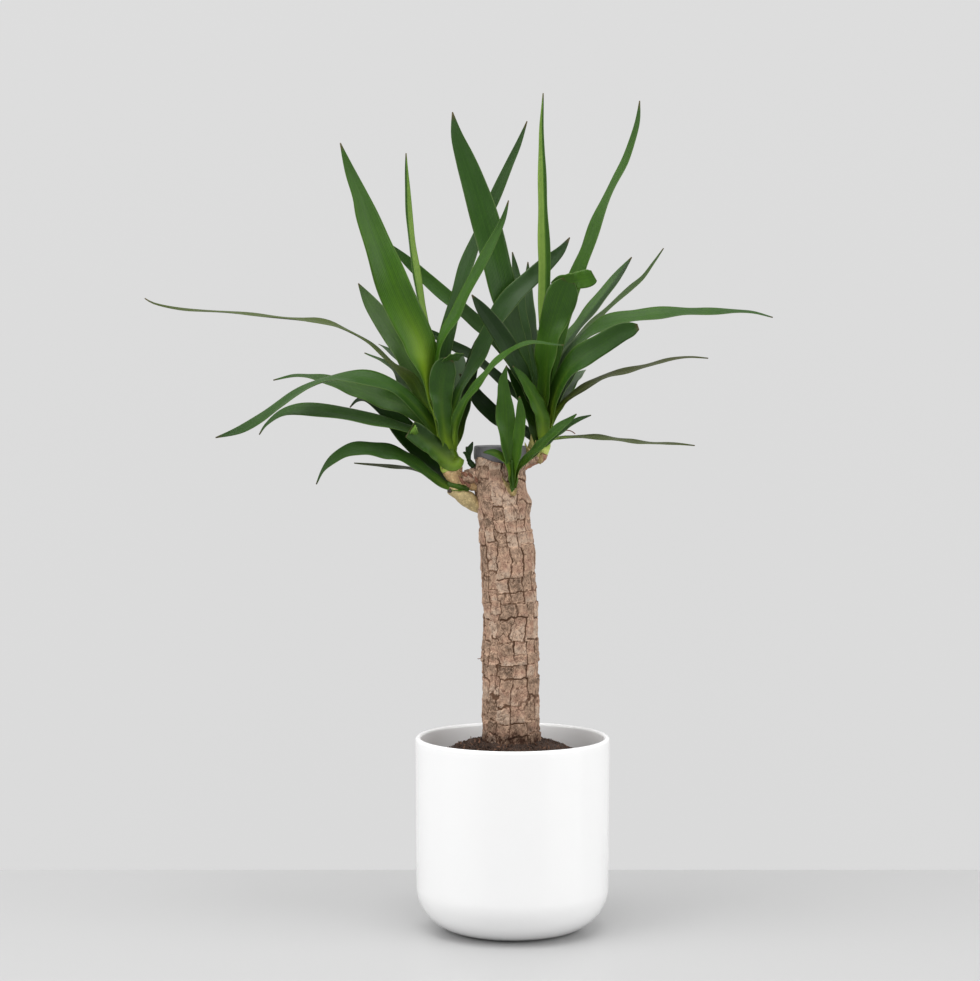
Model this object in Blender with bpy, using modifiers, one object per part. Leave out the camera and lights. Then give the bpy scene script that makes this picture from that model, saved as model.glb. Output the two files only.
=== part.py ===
"""Potted yucca: a cut cane with four leafy shoots, standing in soil in a white glazed pot.

Lengths in the constants and tables are millimetres, and blades are placed as seen in the front
view: x to the right and z up on the plane through the pot's axis, with the depth behind that plane.
"""

import math
import random

import bmesh
import bpy
from mathutils import Vector

OBJECT_NAME = "potted_yucca"
MM = 0.001
GAP = 0.3

# Pot, turned about the Z axis, its base on z = 0
POT_RADIUS = 82.5
POT_TAPER = 0.7
POT_HEIGHT = 164.0
POT_WALL = 4.7
POT_CORNER = 37.0
POT_FLOOR = 6.0
POT_STEPS = 48

# Soil: height of its surface at each distance from the cane's axis
SOIL_SURFACE = ((0.0, 161.0), (25.0, 160.5), (35.0, 158.5), (43.0, 156.0), (51.0, 152.0), (60.0, 147.5),
                (69.0, 142.5), (77.0, 139.0))

# Cane: height, centre x and radius, from its foot in the soil to its cut top
CANE_FOOT = 96.0
CANE_TOP = 409.6
CANE_RINGS = ((96.0, -1.5, 24.0), (104.0, -1.5, 24.7), (161.0, -1.5, 24.7), (180.0, -1.5, 24.5),
              (200.0, -1.4, 24.3), (215.0, -1.5, 24.0), (231.0, -1.6, 23.9), (247.0, -1.4, 23.5),
              (262.0, -1.3, 23.2), (275.0, -1.7, 23.4), (287.0, -2.2, 23.1), (301.0, -3.2, 22.8),
              (316.0, -4.2, 22.6), (328.0, -5.2, 22.5), (340.0, -6.3, 22.3), (350.0, -7.4, 22.1),
              (358.0, -8.2, 21.9), (366.0, -9.0, 21.9), (374.0, -10.2, 21.6), (384.0, -10.9, 21.5),
              (394.0, -11.0, 21.4), (409.6, -11.0, 21.4))
CANE_SIDES = 28
CANE_LUMP = 0.55
KNUCKLE_HEIGHT = 362.0
KNUCKLE_RISE = 2.6

# Wax over the cane's cut top
WAX_TOP = 411.2
WAX_EDGE = 400.0
WAX_WALL = 1.2
WAX_INSET = 0.9

# Blades
BLADE_THICKNESS = 0.9
BLADE_STEPS = 12
SMALL_BLADE_STEPS = 8
ROOT_WIDTH = 7.0
TIP_WIDTH = 1.2

# The front view's eye point
EYE_X = -19.1
EYE_DISTANCE = 2000.0
EYE_Z = 477.7

# Stems and leafy cores: x, y, z and radius along each
STEM_LEFT = ((-24, -2, 375, 4.5), (-36, -3, 379, 5.2), (-45.5, -4, 383, 6.4), (-49.23, -4, 387.07, 8.0),
             (-50.75, -4, 391.25, 9.0))
STEM_LOW_LEFT = ((-24, -3, 354, 3.2), (-33, -4, 359.5, 3.9), (-39.5, -5, 366, 7.3), (-44, -5, 369, 7.2))
STEM_RIGHT = ((0, 6, 383, 4.0), (10, 10, 390, 4.6), (18, 12.5, 397, 5.5), (22.8, 13.4, 401.9, 6.6),
              (23.32, 13.57, 404.26, 6.9))
CORE_LEFT = ((-50.9, -4, 391.6, 9.0), (-52.5, -4, 396, 9.3), (-54.5, -4, 405, 7.8), (-56, -4, 418, 5.2),
             (-57, -4, 436, 2.2))
CORE_LOW_LEFT = ((-44.3, -5, 369.2, 7.0), (-47.8, -5, 371.5, 5.6), (-53.5, -5, 375, 3.6))
CORE_RIGHT = ((23.4, 13.6, 404.6, 6.9), (24.6, 14, 410, 7.4), (25.5, 14, 422, 6.4), (26.2, 14, 438, 4.6),
              (26.6, 14, 454, 2.2))
CORE_FRONT = ((-1, -14.5, 366, 3.4), (-0.6, -20, 374, 4.4), (-0.4, -24.5, 386, 3.9), (-0.6, -27, 400, 2.0))
CORE_BUD = ((-30, -8, 391, 2.0), (-35, -9.5, 396.5, 2.6), (-37.2, -10.2, 400, 1.6))

# Blades as tables: name, height of the root on its core, widest breadth, which way it turns from the
# viewer (1 where it grows to the left), its channel's angle, its depth at root, thirds and tip, and the
# rows x, z and seen breadth from root to tip
LEFT_BLADES = (
    ("broad", 400, 28.5, 1, 12, (-8, -13, -20, -28), (
        (-62, 413, 4), (-63.5, 424, 4), (-66.5, 436, 4), (-71, 448, 4), (-73.5, 462, 4.5), (-74.2, 471, 9),
        (-75.2, 481, 18), (-77.5, 491, 25), (-81, 503, 27), (-89, 520, 28.5), (-102.5, 550, 28),
        (-122, 600, 18.6), (-128.7, 620, 13), (-136.5, 640, 9), (-144.8, 665.5, 1))),
    ("upright", 408, 14, 1, 24, (-3, 3, 10, 16), (
        (-60, 430, 5), (-72, 480, 6), (-79, 530, 6), (-84, 560, 5.5), (-88.4, 600, 5.2), (-89.3, 630, 4),
        (-89.6, 657, 1))),
    ("grey_back", 404, 20, 1, 10, (-3, 14, 34, 56), (
        (-67, 435, 11), (-75, 455, 14), (-85, 475, 16), (-97, 497, 17), (-108, 515, 17), (-120, 532, 12),
        (-130, 548, 1))),
    ("long_thin", 402, 15, 1, 8, (-6, -8, -3, 10), (
        (-65, 428, 8), (-70, 440, 10), (-77, 452, 10), (-85, 466, 11), (-93, 473, 8), (-102, 480, 3),
        (-122, 498, 2), (-143, 509.5, 2), (-160, 515, 3.5), (-178, 517, 2.6), (-204, 519.4, 2),
        (-239, 523.3, 1.4), (-275, 525.5, 2), (-300, 530.4, 1.5), (-310, 535.4, 0.9))),
    ("short_back", 405, 17, 1, 10, (-2, 16, 38, 62), (
        (-68, 430, 8), (-74, 440, 9), (-84, 453, 9), (-94, 466, 8), (-101, 476, 4.5), (-110, 482.5, 2.5),
        (-125, 489.5, 1))),
    ("drooping", 398, 22, 1, 10, (-8, -22, -34, -40), (
        (-62, 417, 9), (-70, 430, 9), (-84, 446, 10), (-100, 459.5, 10.5), (-120, 466.5, 11), (-140, 468, 8),
        (-160, 465, 5), (-180, 456, 4.5), (-197, 444.5, 6.5), (-212, 434, 8), (-230, 424.5, 6.5),
        (-251, 418, 1))),
    ("level_back", 400, 20, 1, 10, (-4, 5, 16, 26), (
        (-65, 422, 10), (-75, 433, 12), (-90, 443, 14), (-110, 451, 17), (-130, 458, 14), (-150, 464, 10),
        (-168, 468.5, 4), (-185, 469.8, 2.5), (-202, 466.5, 1))),
    ("level_front", 397, 18, 1, 10, (-9, -15, -18, -16), (
        (-62, 413, 8), (-75, 421, 8), (-90, 425, 7), (-105, 429.2, 7), (-120, 432.5, 8.5), (-140, 437, 11),
        (-160, 440, 10.5), (-180, 441.3, 9.5), (-195, 438.3, 6), (-208, 429, 2.4), (-214, 420.5, 1))),
    ("cropped", 395.5, 18, 1, 14, (-10, -20, -30, -40), (
        (-58, 401, 14), (-68, 411, 16), (-80, 421, 17), (-86.6, 425.2, 15))),
    ("cropped_tip", None, 12, 1, 0, (-39, -41, -43, -44), (
        (-86.4, 425.2, 12), (-84, 424, 9), (-80, 421.5, 1.5))),
    ("folded", 397, 20, 1, 10, (-10, -28, -42, -52), (
        (-55, 410, 9), (-57.5, 420, 10), (-60, 440, 14), (-60.5, 455, 19), (-59.5, 470, 20), (-57, 479, 18),
        (-52, 484.5, 13), (-41.5, 488.5, 2))),
    ("to_right", 404, 15, -1, 14, (-6, -12, -20, -24), (
        (-55, 412, 6), (-59, 440, 7), (-62.5, 470, 6), (-62, 490, 5), (-57, 505, 6), (-47.5, 520, 8.5),
        (-40, 537, 9), (-30.5, 555, 9), (-23, 570, 8.5), (-15.5, 585, 7), (-8, 602, 4.5), (-3.5, 617.5, 1))),
    ("tall_right", 408, 17, -1, 14, (-2, 6, 30, 44), (
        (-54, 418, 8), (-57, 450, 10), (-58, 480, 12), (-56, 497, 13), (-51, 517, 12), (-45, 540, 11),
        (-38, 562, 11), (-27, 590, 9.5), (-17, 613, 9.5), (-9, 632, 9), (-1.5, 650, 7), (5, 665, 5),
        (12, 683.6, 1))),
    ("dark_right", 400, 20, -1, 12, (-6, -8, 4, 26), (
        (-52, 412, 5), (-52, 425, 5), (-50, 440, 6), (-45, 456, 7), (-37, 470, 9.5), (-28, 485, 11),
        (-22, 500, 13), (-12, 520, 15), (0, 537, 16), (14, 551, 15), (28, 564, 13), (40, 575, 8),
        (48, 586.5, 1))),
    ("front_arc", 398, 13, -1, 16, (-14, -30, -42, -46), (
        (-49.5, 414, 7), (-49, 423, 7), (-47.5, 431.5, 8), (-44, 440, 7), (-39.7, 448, 6.5), (-34.5, 455, 6),
        (-27.6, 463.5, 5.5), (-21.5, 471.3, 5), (-15.4, 479, 4.5), (-8.5, 485.2, 4), (0, 491.3, 4),
        (8.8, 495.6, 3.5), (18, 497.8, 2.4), (32.7, 496.7, 2), (43, 496, 1))),
    ("dark_inner", 401, 15, -1, 10, (-4, 0, 4, 7), (
        (-47.5, 412, 5), (-43, 425, 6), (-39, 445, 8), (-37, 460, 10), (-34, 480, 11), (-31, 496, 5),
        (-29, 503, 1))),
)
LOW_LEFT_BLADES = (
    ("drooping", 370.5, 16, 1, 10, (-6, -10, -16, -20), (
        (-56, 377, 6), (-68, 385, 8), (-80, 394, 8), (-95, 402.5, 10), (-108, 406, 12), (-125, 408.3, 11),
        (-138, 407, 10), (-150, 400.5, 8), (-160, 390.5, 3), (-166, 378.5, 1))),
    ("thin", 371.5, 8, 1, 6, (-4, 3, 10, 16), (
        (-56, 376.6, 3), (-62, 381.3, 2.6), (-69, 385.6, 2.6), (-78, 389.6, 2.6), (-88, 392, 2.5),
        (-99, 393, 2.4), (-116, 394.8, 2), (-134, 396.5, 1))),
    ("shaded", 372.5, 18, 1, 10, (-2, 16, 21, 24), (
        (-56, 381.5, 5), (-64.5, 391.5, 9), (-75, 403, 14), (-93, 425, 16), (-108, 441, 12), (-122, 450, 6),
        (-131, 449.5, 3), (-137.4, 443.5, 1))),
)
RIGHT_BLADES = (
    ("tall_dark", 410, 24.5, 1, 8, (12, 14, 14, 18), (
        (22, 430, 8), (18, 450, 8), (10, 475, 12), (2, 500, 16), (-5, 525, 20), (-11, 552, 23),
        (-17.5, 580, 24.5), (-25, 607, 24), (-33, 632, 20.5), (-40, 652, 16.5), (-47, 672, 10),
        (-50.6, 691.3, 1))),
    ("back_upright", 418, 18, 1, 10, (14, 26, 46, 68), (
        (22, 440, 10), (18, 460, 12), (13, 480, 12), (8, 500, 15), (5, 520, 14), (3.5, 540, 12), (2, 560, 6),
        (-0.3, 574.3, 1))),
    ("back_inner", 420, 14, -1, 10, (16, 32, 58, 82), (
        (24, 440, 8), (20, 480, 10), (15, 520, 10), (13, 550, 6), (12.8, 566, 1))),
    ("dark_front", 408, 17, 1, 10, (8, -6, -22, -34), (
        (20, 440, 8), (14, 455, 10), (7, 472, 13), (-1, 488, 15), (-9, 503, 15), (-18, 516, 13), (-27, 528, 9),
        (-34.5, 538.5, 1))),
    ("upright", 424, 12, -1, 26, (14, 6, -1, -4), (
        (27.5, 450, 7), (28, 480, 9), (28, 540, 10), (28.3, 565, 10.4), (27.4, 600, 8.5), (26.2, 640, 6.5),
        (25.4, 660, 5), (24.7, 682, 3.3), (25.5, 707, 1))),
    ("folded", 412, 28, -1, 10, (10, -6, -22, -40), (
        (27, 440, 6), (28, 460, 10), (29, 480, 14), (31, 500, 18), (36, 520, 24), (40, 535, 27),
        (46, 547, 24), (56, 551.5, 17), (68, 552, 5))),
    ("far_left", 414, 16, 1, 10, (16, 22, 28, 32), (
        (20, 440, 6), (8, 468, 10), (-15, 501, 11), (-30, 514, 12), (-45, 527.5, 12), (-60, 540, 11.5),
        (-75, 554, 10.5), (-90, 568, 8), (-105, 582, 1))),
    ("tall_curved", 412, 18, -1, 12, (14, 10, 12, 26), (
        (27, 440, 8), (30, 465, 10), (36, 490, 12), (43, 515, 12.5), (50, 540, 12.5), (57, 560, 12.5),
        (64.5, 578, 10.5), (72, 600, 8.5), (79.5, 618, 7), (86, 632, 6), (95, 650, 5.7), (101.5, 670, 5.2),
        (105, 685, 4), (106.4, 700.6, 1))),
    ("two_tone", 416, 20, -1, 14, (18, 36, 64, 94), (
        (28, 445, 8), (31, 462, 7), (37, 482, 7), (46, 498, 8), (57, 512, 9), (70, 529, 9), (82, 545, 9),
        (92, 559, 6), (100.2, 570, 1))),
    ("grey_thin", 414, 14, -1, 8, (16, 28, 42, 56), (
        (30, 448, 5), (34, 465, 4), (42, 485, 4), (52, 498.5, 3.4), (64, 511, 3.8), (78, 524, 3),
        (90, 535, 4.5), (100, 544, 4.2), (110, 553, 2.8), (118.5, 565, 2), (127, 577.5, 0.9))),
    ("long", 410, 20, -1, 10, (12, 6, -4, -10), (
        (33, 452, 5), (39, 470, 5), (48, 488, 6), (60, 501.5, 8), (75, 512, 10), (90, 517.5, 11),
        (105, 519.8, 11), (120, 521.5, 9.5), (138, 523, 8.3), (155, 523.3, 6.3), (175, 523.6, 5),
        (190, 524, 3), (204, 523.2, 2), (219.2, 519.3, 0.9))),
    ("blunt", 408, 22, -1, 10, (8, -14, -34, -50), (
        (32, 435, 8), (35, 450, 8), (40, 463, 10), (48, 476, 15), (60, 487, 18.5), (75, 497, 18),
        (90, 506, 16), (100, 509.5, 12), (106, 511.5, 5))),
    ("thin", 407.5, 14, -1, 8, (10, 2, -8, -18), (
        (33.5, 433.7, 4), (43, 446.7, 4.3), (50, 452.8, 4.5), (58.7, 458.8, 4.5), (67, 463.6, 4.2),
        (80, 469.7, 4.3), (99, 474.5, 3.7), (116.4, 479, 3), (133.7, 483.8, 2), (150, 485.8, 1.5),
        (165, 485, 0.9))),
    ("lowest", 406.5, 12, -1, 6, (10, 0, -8, -14), (
        (32, 415.5, 2.4), (41, 417.7, 2), (50, 418.3, 2.2), (60, 418.5, 3), (71.7, 418.1, 3.3),
        (84.7, 416.6, 3.2), (99, 414.8, 2.4), (115, 413.2, 1.8), (139.7, 412.6, 1.5), (154, 411.3, 0.9))),
    ("green_front", 406.5, 13, 1, 12, (2, -8, -16, -24), (
        (26, 414, 7), (26, 425, 9), (25, 437, 9), (19.5, 449, 9), (13.5, 460, 8), (7, 470, 5),
        (0.2, 478.5, 1))),
    ("dark_small", 408, 10, 1, 10, (4, -4, -10, -16), (
        (20, 420, 7), (16, 436, 6.5), (10, 450, 7), (3, 463, 6), (-5, 478, 1))),
    ("far_left_low", 412, 14, 1, 10, (16, 20, 24, 28), (
        (15, 440, 6), (-5, 461, 7), (-20, 475, 8), (-35, 487, 8), (-50, 495, 8), (-66, 505, 6),
        (-78, 511, 1))),
    ("behind_cane", 408, 15, 1, 10, (17, 25, 22, 20), (
        (12, 422, 8), (-5, 430, 12), (-17, 438.5, 14), (-28, 450, 13), (-38, 464, 8), (-45, 472, 1))),
)
FRONT_BLADES = (
    ("middle", 376, 16, 1, 12, (-23, -28, -34, -44), (
        (-1.5, 386, 6), (-3, 395, 7), (-5.5, 415, 11), (-6, 431, 16), (-6.5, 441, 15.5), (-7.5, 452, 12),
        (-8, 465, 8), (-5, 479, 1))),
    ("second", 378, 11, -1, 14, (-25, -31, -39, -47), (
        (1.5, 388, 4), (4.5, 405, 7), (6, 420, 9), (6.8, 435, 8.5), (6.3, 445, 5.5), (5.8, 453, 1))),
    ("right", 377, 12, -1, 14, (-23, -26, -28, -30), (
        (5, 391, 4), (10, 397, 5), (20, 407, 6.5), (30, 417, 6.5), (40, 427, 6.5), (48, 433, 4.5),
        (54, 438, 1))),
    ("right_back", 379, 9, -1, 10, (-22, -19, -14, -8), (
        (5, 391, 3), (14, 400, 4), (28, 413, 5), (43, 425, 4.5), (50, 430, 4), (57, 434, 3.5),
        (66.3, 437, 1))),
    ("left", 378, 8, 1, 12, (-24, -27, -28, -29), (
        (-3, 392, 4), (-8, 400, 5), (-16, 405.5, 6), (-25, 405.5, 1))),
)
BUD_BLADES = (
    ("upper", 397, 5, 1, 8, (-10, -11, -12, -12.5), ((-37.4, 402, 4), (-36.6, 407, 3.6), (-33.8, 414, 1))),
    ("lower", 397, 5, 1, 8, (-10.5, -12.5, -14, -15), ((-38.6, 401, 3.6), (-40, 404, 2.4), (-41.5, 406, 1))),
)

# Blades that grow away from the viewer, behind the others: how many, their first and last direction
# in degrees from +X towards +Y, and their length
LEFT_BACK = (5, 80, 138, 128)
RIGHT_BACK = (7, 28, 100, 138)

COLOURS = {
    "glaze": ((0.87, 0.87, 0.86), 0.22),
    "soil": ((0.045, 0.028, 0.018), 0.95),
    "bark": ((0.36, 0.25, 0.17), 0.85),
    "wax": ((0.10, 0.10, 0.11), 0.55),
    "stem": ((0.62, 0.45, 0.24), 0.7),
    "leaf": ((0.05, 0.14, 0.035), 0.42),
    "young_leaf": ((0.07, 0.20, 0.05), 0.42),
}


def clear_scene():
    for obj in list(bpy.data.objects):
        bpy.data.objects.remove(obj, do_unlink=True)


def material(name):
    """The named material, made on its first use."""
    found = bpy.data.materials.get(name)
    if found:
        return found
    colour, roughness = COLOURS[name]
    made = bpy.data.materials.new(name)
    made.use_nodes = True
    shader = made.node_tree.nodes["Principled BSDF"]
    shader.inputs["Base Color"].default_value = (*colour, 1.0)
    shader.inputs["Roughness"].default_value = roughness
    shader.inputs["Metallic"].default_value = 0.0
    return made


def new_collection(name):
    made = bpy.data.collections.new(name)
    bpy.context.scene.collection.children.link(made)
    return made


def add_object(name, mesh, collection, finish):
    obj = bpy.data.objects.new(name, mesh)
    collection.objects.link(obj)
    if not mesh.materials:
        mesh.materials.append(material(finish))
    return obj


def mesh_of_rings(name, rings, closed_ends):
    """A surface through rings of points, all alike in number; closed ends make it a round solid."""
    bm = bmesh.new()
    rows = [[bm.verts.new(point * MM) for point in ring] for ring in rings]
    around = len(rings[0])
    last = around if closed_ends else around - 1
    for lower, upper in zip(rows, rows[1:]):
        for i in range(last):
            j = (i + 1) % around
            bm.faces.new((lower[i], lower[j], upper[j], upper[i]))
    if closed_ends:
        bm.faces.new(rows[0][::-1])
        bm.faces.new(rows[-1])
    bmesh.ops.recalc_face_normals(bm, faces=bm.faces)
    if closed_ends and bm.calc_volume(signed=True) < 0:
        bmesh.ops.reverse_faces(bm, faces=bm.faces)
    mesh = bpy.data.meshes.new(name)
    bm.to_mesh(mesh)
    bm.free()
    mesh.shade_smooth()
    return mesh


def smooth_row(rows, place):
    """The row at a place between two rows, on a smooth curve through all of them."""
    i = min(int(place), len(rows) - 2)
    t = place - i
    before = rows[max(i - 1, 0)]
    here = rows[i]
    after = rows[i + 1]
    beyond = rows[min(i + 2, len(rows) - 1)]
    return [
        0.5 * (2 * b + (c - a) * t + (2 * a - 5 * b + 4 * c - d) * t * t + (3 * b - a - 3 * c + d) * t ** 3)
        for a, b, c, d in zip(before, here, after, beyond)
    ]


def even_rows(rows, count):
    """Rows at even steps of length along the smooth curve through the given ones."""
    fine = [smooth_row(rows, (len(rows) - 1) * k / 200) for k in range(201)]
    lengths = [0.0]
    for a, b in zip(fine, fine[1:]):
        lengths.append(lengths[-1] + math.dist(a[:2], b[:2]))
    found = []
    k = 0
    for step in range(count + 1):
        target = lengths[-1] * step / count
        while k < 199 and lengths[k + 1] < target:
            k += 1
        share = (target - lengths[k]) / max(lengths[k + 1] - lengths[k], 1e-9)
        share = min(max(share, 0.0), 1.0)
        found.append([a + (b - a) * share for a, b in zip(fine[k], fine[k + 1])])
    return found


def seen(x, z, depth):
    """The point that the front view shows at x and z, at a depth behind the pot's axis."""
    spread = (EYE_DISTANCE + depth) / EYE_DISTANCE
    return Vector((EYE_X + (x - EYE_X) * spread, depth, EYE_Z + (z - EYE_Z) * spread))


def breadth_share(t):
    """A blade's breadth along its length: a narrow neck, widest at the middle, a long point."""
    rise = min(t / 0.45, 1.0)
    rise = rise * rise * (3 - 2 * rise)
    fall = max((t - 0.5) / 0.5, 0.0)
    return (0.5 + 0.5 * rise) * (1 - fall ** 2.2)


def blade_from_lines(name, points, across, normals, breadths, channel, collection, finish):
    """A blade with a channel along its middle: a strip three points wide, given its thickness."""
    rise = math.tan(math.radians(channel))
    rings = []
    for point, side, normal, breadth in zip(points, across, normals, breadths):
        half = side * (breadth / 2)
        edge = normal * (breadth / 2 * rise)
        rings.append([point - half + edge, point, point + half + edge])
    blade = add_object(name, mesh_of_rings(name, rings, False), collection, finish)
    solid = blade.modifiers.new("thickness", "SOLIDIFY")
    solid.thickness = BLADE_THICKNESS * MM
    solid.offset = 0.0
    return blade


def core_point(core, height):
    """The point of a core's axis at a height, and its depth."""
    for low, high in zip(core, core[1:]):
        if height <= high[2] or high is core[-1]:
            t = (height - low[2]) / (high[2] - low[2])
            return [a + (b - a) * t for a, b in zip(low[:3], high[:3])]


def table_blade(prefix, spec, core, collection, finish):
    """A blade through the rows of its table, turned so that it shows the breadth that they give."""
    name, root, widest, turn, channel, depths, rows = spec
    rows = [list(row) for row in rows]
    depths = list(depths)
    if root is not None:
        x, y, z = core_point(core, root)
        shrink = EYE_DISTANCE / (EYE_DISTANCE + y)
        rows.insert(0, [EYE_X + (x - EYE_X) * shrink, EYE_Z + (z - EYE_Z) * shrink, ROOT_WIDTH])
        depths[0] = y
    steps = BLADE_STEPS if len(rows) > 6 else SMALL_BLADE_STEPS
    line = even_rows(rows, steps)
    turns = []
    for k, (_, _, shown) in enumerate(line):
        full = max(widest * breadth_share(k / steps), shown, TIP_WIDTH)
        turns.append(math.acos(min(max(shown, 0.6) / full, 1.0)))
    eased = [
        (turns[max(k - 1, 0)] + 2 * turns[k] + turns[min(k + 1, steps)]) / 4 for k in range(steps + 1)
    ]
    points = []
    across = []
    normals = []
    breadths = []
    for k, (x, z, shown) in enumerate(line):
        depth = smooth_row([[d] for d in depths], 3 * k / steps)[0]
        points.append(seen(x, z, depth))
        ahead = line[min(k + 1, steps)]
        behind = line[max(k - 1, 0)]
        along = Vector((ahead[0] - behind[0], 0, ahead[1] - behind[1])).normalized()
        flat = Vector((-along.z, 0, along.x))
        facing = along.cross(flat)
        angle = turn * eased[k]
        across.append(flat * math.cos(angle) + facing * math.sin(angle))
        normals.append(facing * math.cos(angle) - flat * math.sin(angle))
        breadths.append(max(max(shown, 0.6) / max(math.cos(eased[k]), 0.12), TIP_WIDTH))
    breadths = [min(b, widest * 1.05) for b in breadths]
    return blade_from_lines(prefix + name, points, across, normals, breadths, channel, collection, finish)


def back_blades(prefix, rule, core, collection, finish, seed):
    """Blades that arch away behind a head, by a rule and a seeded draw."""
    count, first, last, length = rule
    draw = random.Random(seed)
    for k in range(count):
        heading = math.radians(first + (last - first) * (k + 0.5) / count + draw.uniform(-5, 5))
        out = Vector((math.cos(heading), math.sin(heading), 0))
        reach = length * draw.uniform(0.82, 1.12)
        bend = draw.uniform(0.75, 1.15)
        widest = draw.uniform(17, 22)
        place = Vector(core_point(core, core[0][2] + 6 + 2.6 * (k % 3)))
        steps = BLADE_STEPS - 2
        points = []
        across = []
        normals = []
        breadths = []
        side = Vector((-out.y, out.x, 0))
        for step in range(steps + 1):
            t = step / steps
            lean = math.radians(16 + 20 * (k % 2)) + bend * t
            along = out * math.sin(lean) + Vector((0, 0, math.cos(lean)))
            points.append(place.copy())
            across.append(side)
            normals.append(side.cross(along) * -1)
            breadths.append(max(widest * breadth_share(t), TIP_WIDTH) if step else ROOT_WIDTH)
            place += along * (reach / steps)
        blade_from_lines(f"{prefix}back_{k}", points, across, normals, breadths, 12, collection, finish)


def tube(name, rows, sides, collection, finish, grow=0.0):
    """A round solid along rows of x, y, z and radius; grown, it is the hole for that solid."""
    points = [Vector(row[:3]) for row in rows]
    rings = []
    for k, row in enumerate(rows):
        along = (points[min(k + 1, len(rows) - 1)] - points[max(k - 1, 0)]).normalized()
        centre = points[k]
        if k in (0, len(rows) - 1):
            centre = centre + along * (grow if k else -grow)
        right = along.cross(Vector((0, 1, 0))).normalized()
        away = along.cross(right)
        radius = row[3] + grow
        rings.append([
            centre + right * (radius * math.cos(2 * math.pi * i / sides))
            + away * (radius * math.sin(2 * math.pi * i / sides))
            for i in range(sides)
        ])
    return add_object(name, mesh_of_rings(name, rings, True), collection, finish)


def apply_modifiers(obj):
    """The object's mesh as its modifiers make it, with none left on it."""
    evaluated = obj.evaluated_get(bpy.context.evaluated_depsgraph_get())
    mesh = bpy.data.meshes.new_from_object(evaluated)
    obj.modifiers.clear()
    obj.data = mesh


def keep_outer_shell(mesh):
    """Fills what fusing sealed in and drops loose scraps: only the widest connected shell stays."""
    bm = bmesh.new()
    bm.from_mesh(mesh)
    left = set(bm.verts)
    shells = []
    while left:
        shell = {left.pop()}
        edge = list(shell)
        while edge:
            vert = edge.pop()
            for link in vert.link_edges:
                other = link.other_vert(vert)
                if other in left:
                    left.discard(other)
                    shell.add(other)
                    edge.append(other)
        shells.append(shell)
    shells.sort(key=lambda shell: max(v.co.x for v in shell) - min(v.co.x for v in shell))
    for shell in shells[:-1]:
        bmesh.ops.delete(bm, geom=list(shell), context="VERTS")
    bm.to_mesh(mesh)
    bm.free()


def leafy_shoot(name, core, specs, parts, finish, back=None, seed=0):
    """One node: a core with every blade of its head sunk in it, joined into one solid."""
    blades = new_collection(name + "_blades")
    for spec in specs:
        table_blade(name + "_", spec, core, blades, finish)
    if back:
        back_blades(name + "_", back, core, blades, finish, seed)
    shoot = tube(name, core, 12, parts, finish)
    join = shoot.modifiers.new("blades", "BOOLEAN")
    join.operation = "UNION"
    join.operand_type = "COLLECTION"
    join.collection = blades
    join.solver = "EXACT"
    apply_modifiers(shoot)
    keep_outer_shell(shoot.data)
    for blade in list(blades.objects):
        bpy.data.objects.remove(blade, do_unlink=True)
    bpy.data.collections.remove(blades)
    return shoot


def bore(obj, cutter):
    """Cuts a plain hole in an object, and leaves the cutter hidden."""
    cutter.hide_render = True
    cutter.display_type = "WIRE"
    cut = obj.modifiers.new("hole", "BOOLEAN")
    cut.operation = "DIFFERENCE"
    cut.solver = "EXACT"
    cut.object = cutter


def turned(name, profile, collection, finish, steps):
    """A solid turned about Z from a profile of radius and height points, listed from the axis."""
    bm = bmesh.new()
    verts = [bm.verts.new((r * MM, 0, z * MM)) for r, z in profile]
    for a, b in zip(verts, verts[1:]):
        bm.edges.new((a, b))
    mesh = bpy.data.meshes.new(name)
    bm.to_mesh(mesh)
    bm.free()
    obj = add_object(name, mesh, collection, finish)
    screw = obj.modifiers.new("turn", "SCREW")
    screw.steps = steps
    screw.render_steps = steps
    screw.use_merge_vertices = True
    screw.merge_threshold = 0.00005
    screw.use_smooth_shade = True
    return obj


def arc(centre_r, centre_z, radius, first, last, count):
    """Points on an arc of a profile, its angles in degrees from the outward direction."""
    return [
        (
            centre_r + radius * math.cos(math.radians(first + (last - first) * k / count)),
            centre_z + radius * math.sin(math.radians(first + (last - first) * k / count)),
        )
        for k in range(count + 1)
    ]


def pot_inner_corner():
    """The centre and the radius of the rounding between the pot's inner wall and its floor."""
    radius = POT_CORNER - POT_WALL
    return POT_RADIUS - POT_TAPER - POT_CORNER, POT_FLOOR + radius, radius


def make_pot(parts):
    centre, height, radius = pot_inner_corner()
    inner = [(0.0, POT_FLOOR), (centre / 2, POT_FLOOR)] + arc(centre, height, radius, -90, 0, 6)
    lip = arc(POT_RADIUS - POT_WALL / 2, POT_HEIGHT - POT_WALL / 2, POT_WALL / 2, 180, 0, 6)
    outer = arc(POT_RADIUS - POT_TAPER - POT_CORNER, POT_CORNER, POT_CORNER, 0, -90, 8)
    return turned("pot", inner + lip + outer + [(0.0, 0.0)], parts, "glaze", POT_STEPS)


def make_soil(parts, cutters):
    centre, height, radius = pot_inner_corner()
    top = [(r, z) for r, z in SOIL_SURFACE]
    wall = (POT_RADIUS - POT_TAPER - POT_WALL) - GAP
    side = [(wall, top[-1][1])] + arc(centre, height, radius - GAP, 0, -90, 6)
    soil = turned("soil", top + side + [(0.0, POT_FLOOR + GAP)], parts, "soil", POT_STEPS)
    x = CANE_RINGS[0][1]
    hole_radius = CANE_RINGS[1][2] + CANE_LUMP + GAP
    hole = [(x, 0, CANE_FOOT - GAP, hole_radius), (x, 0, POT_HEIGHT + 20, hole_radius)]
    bore(soil, tube("hole_for_cane", hole, CANE_SIDES, cutters, "soil"))
    return soil


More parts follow.
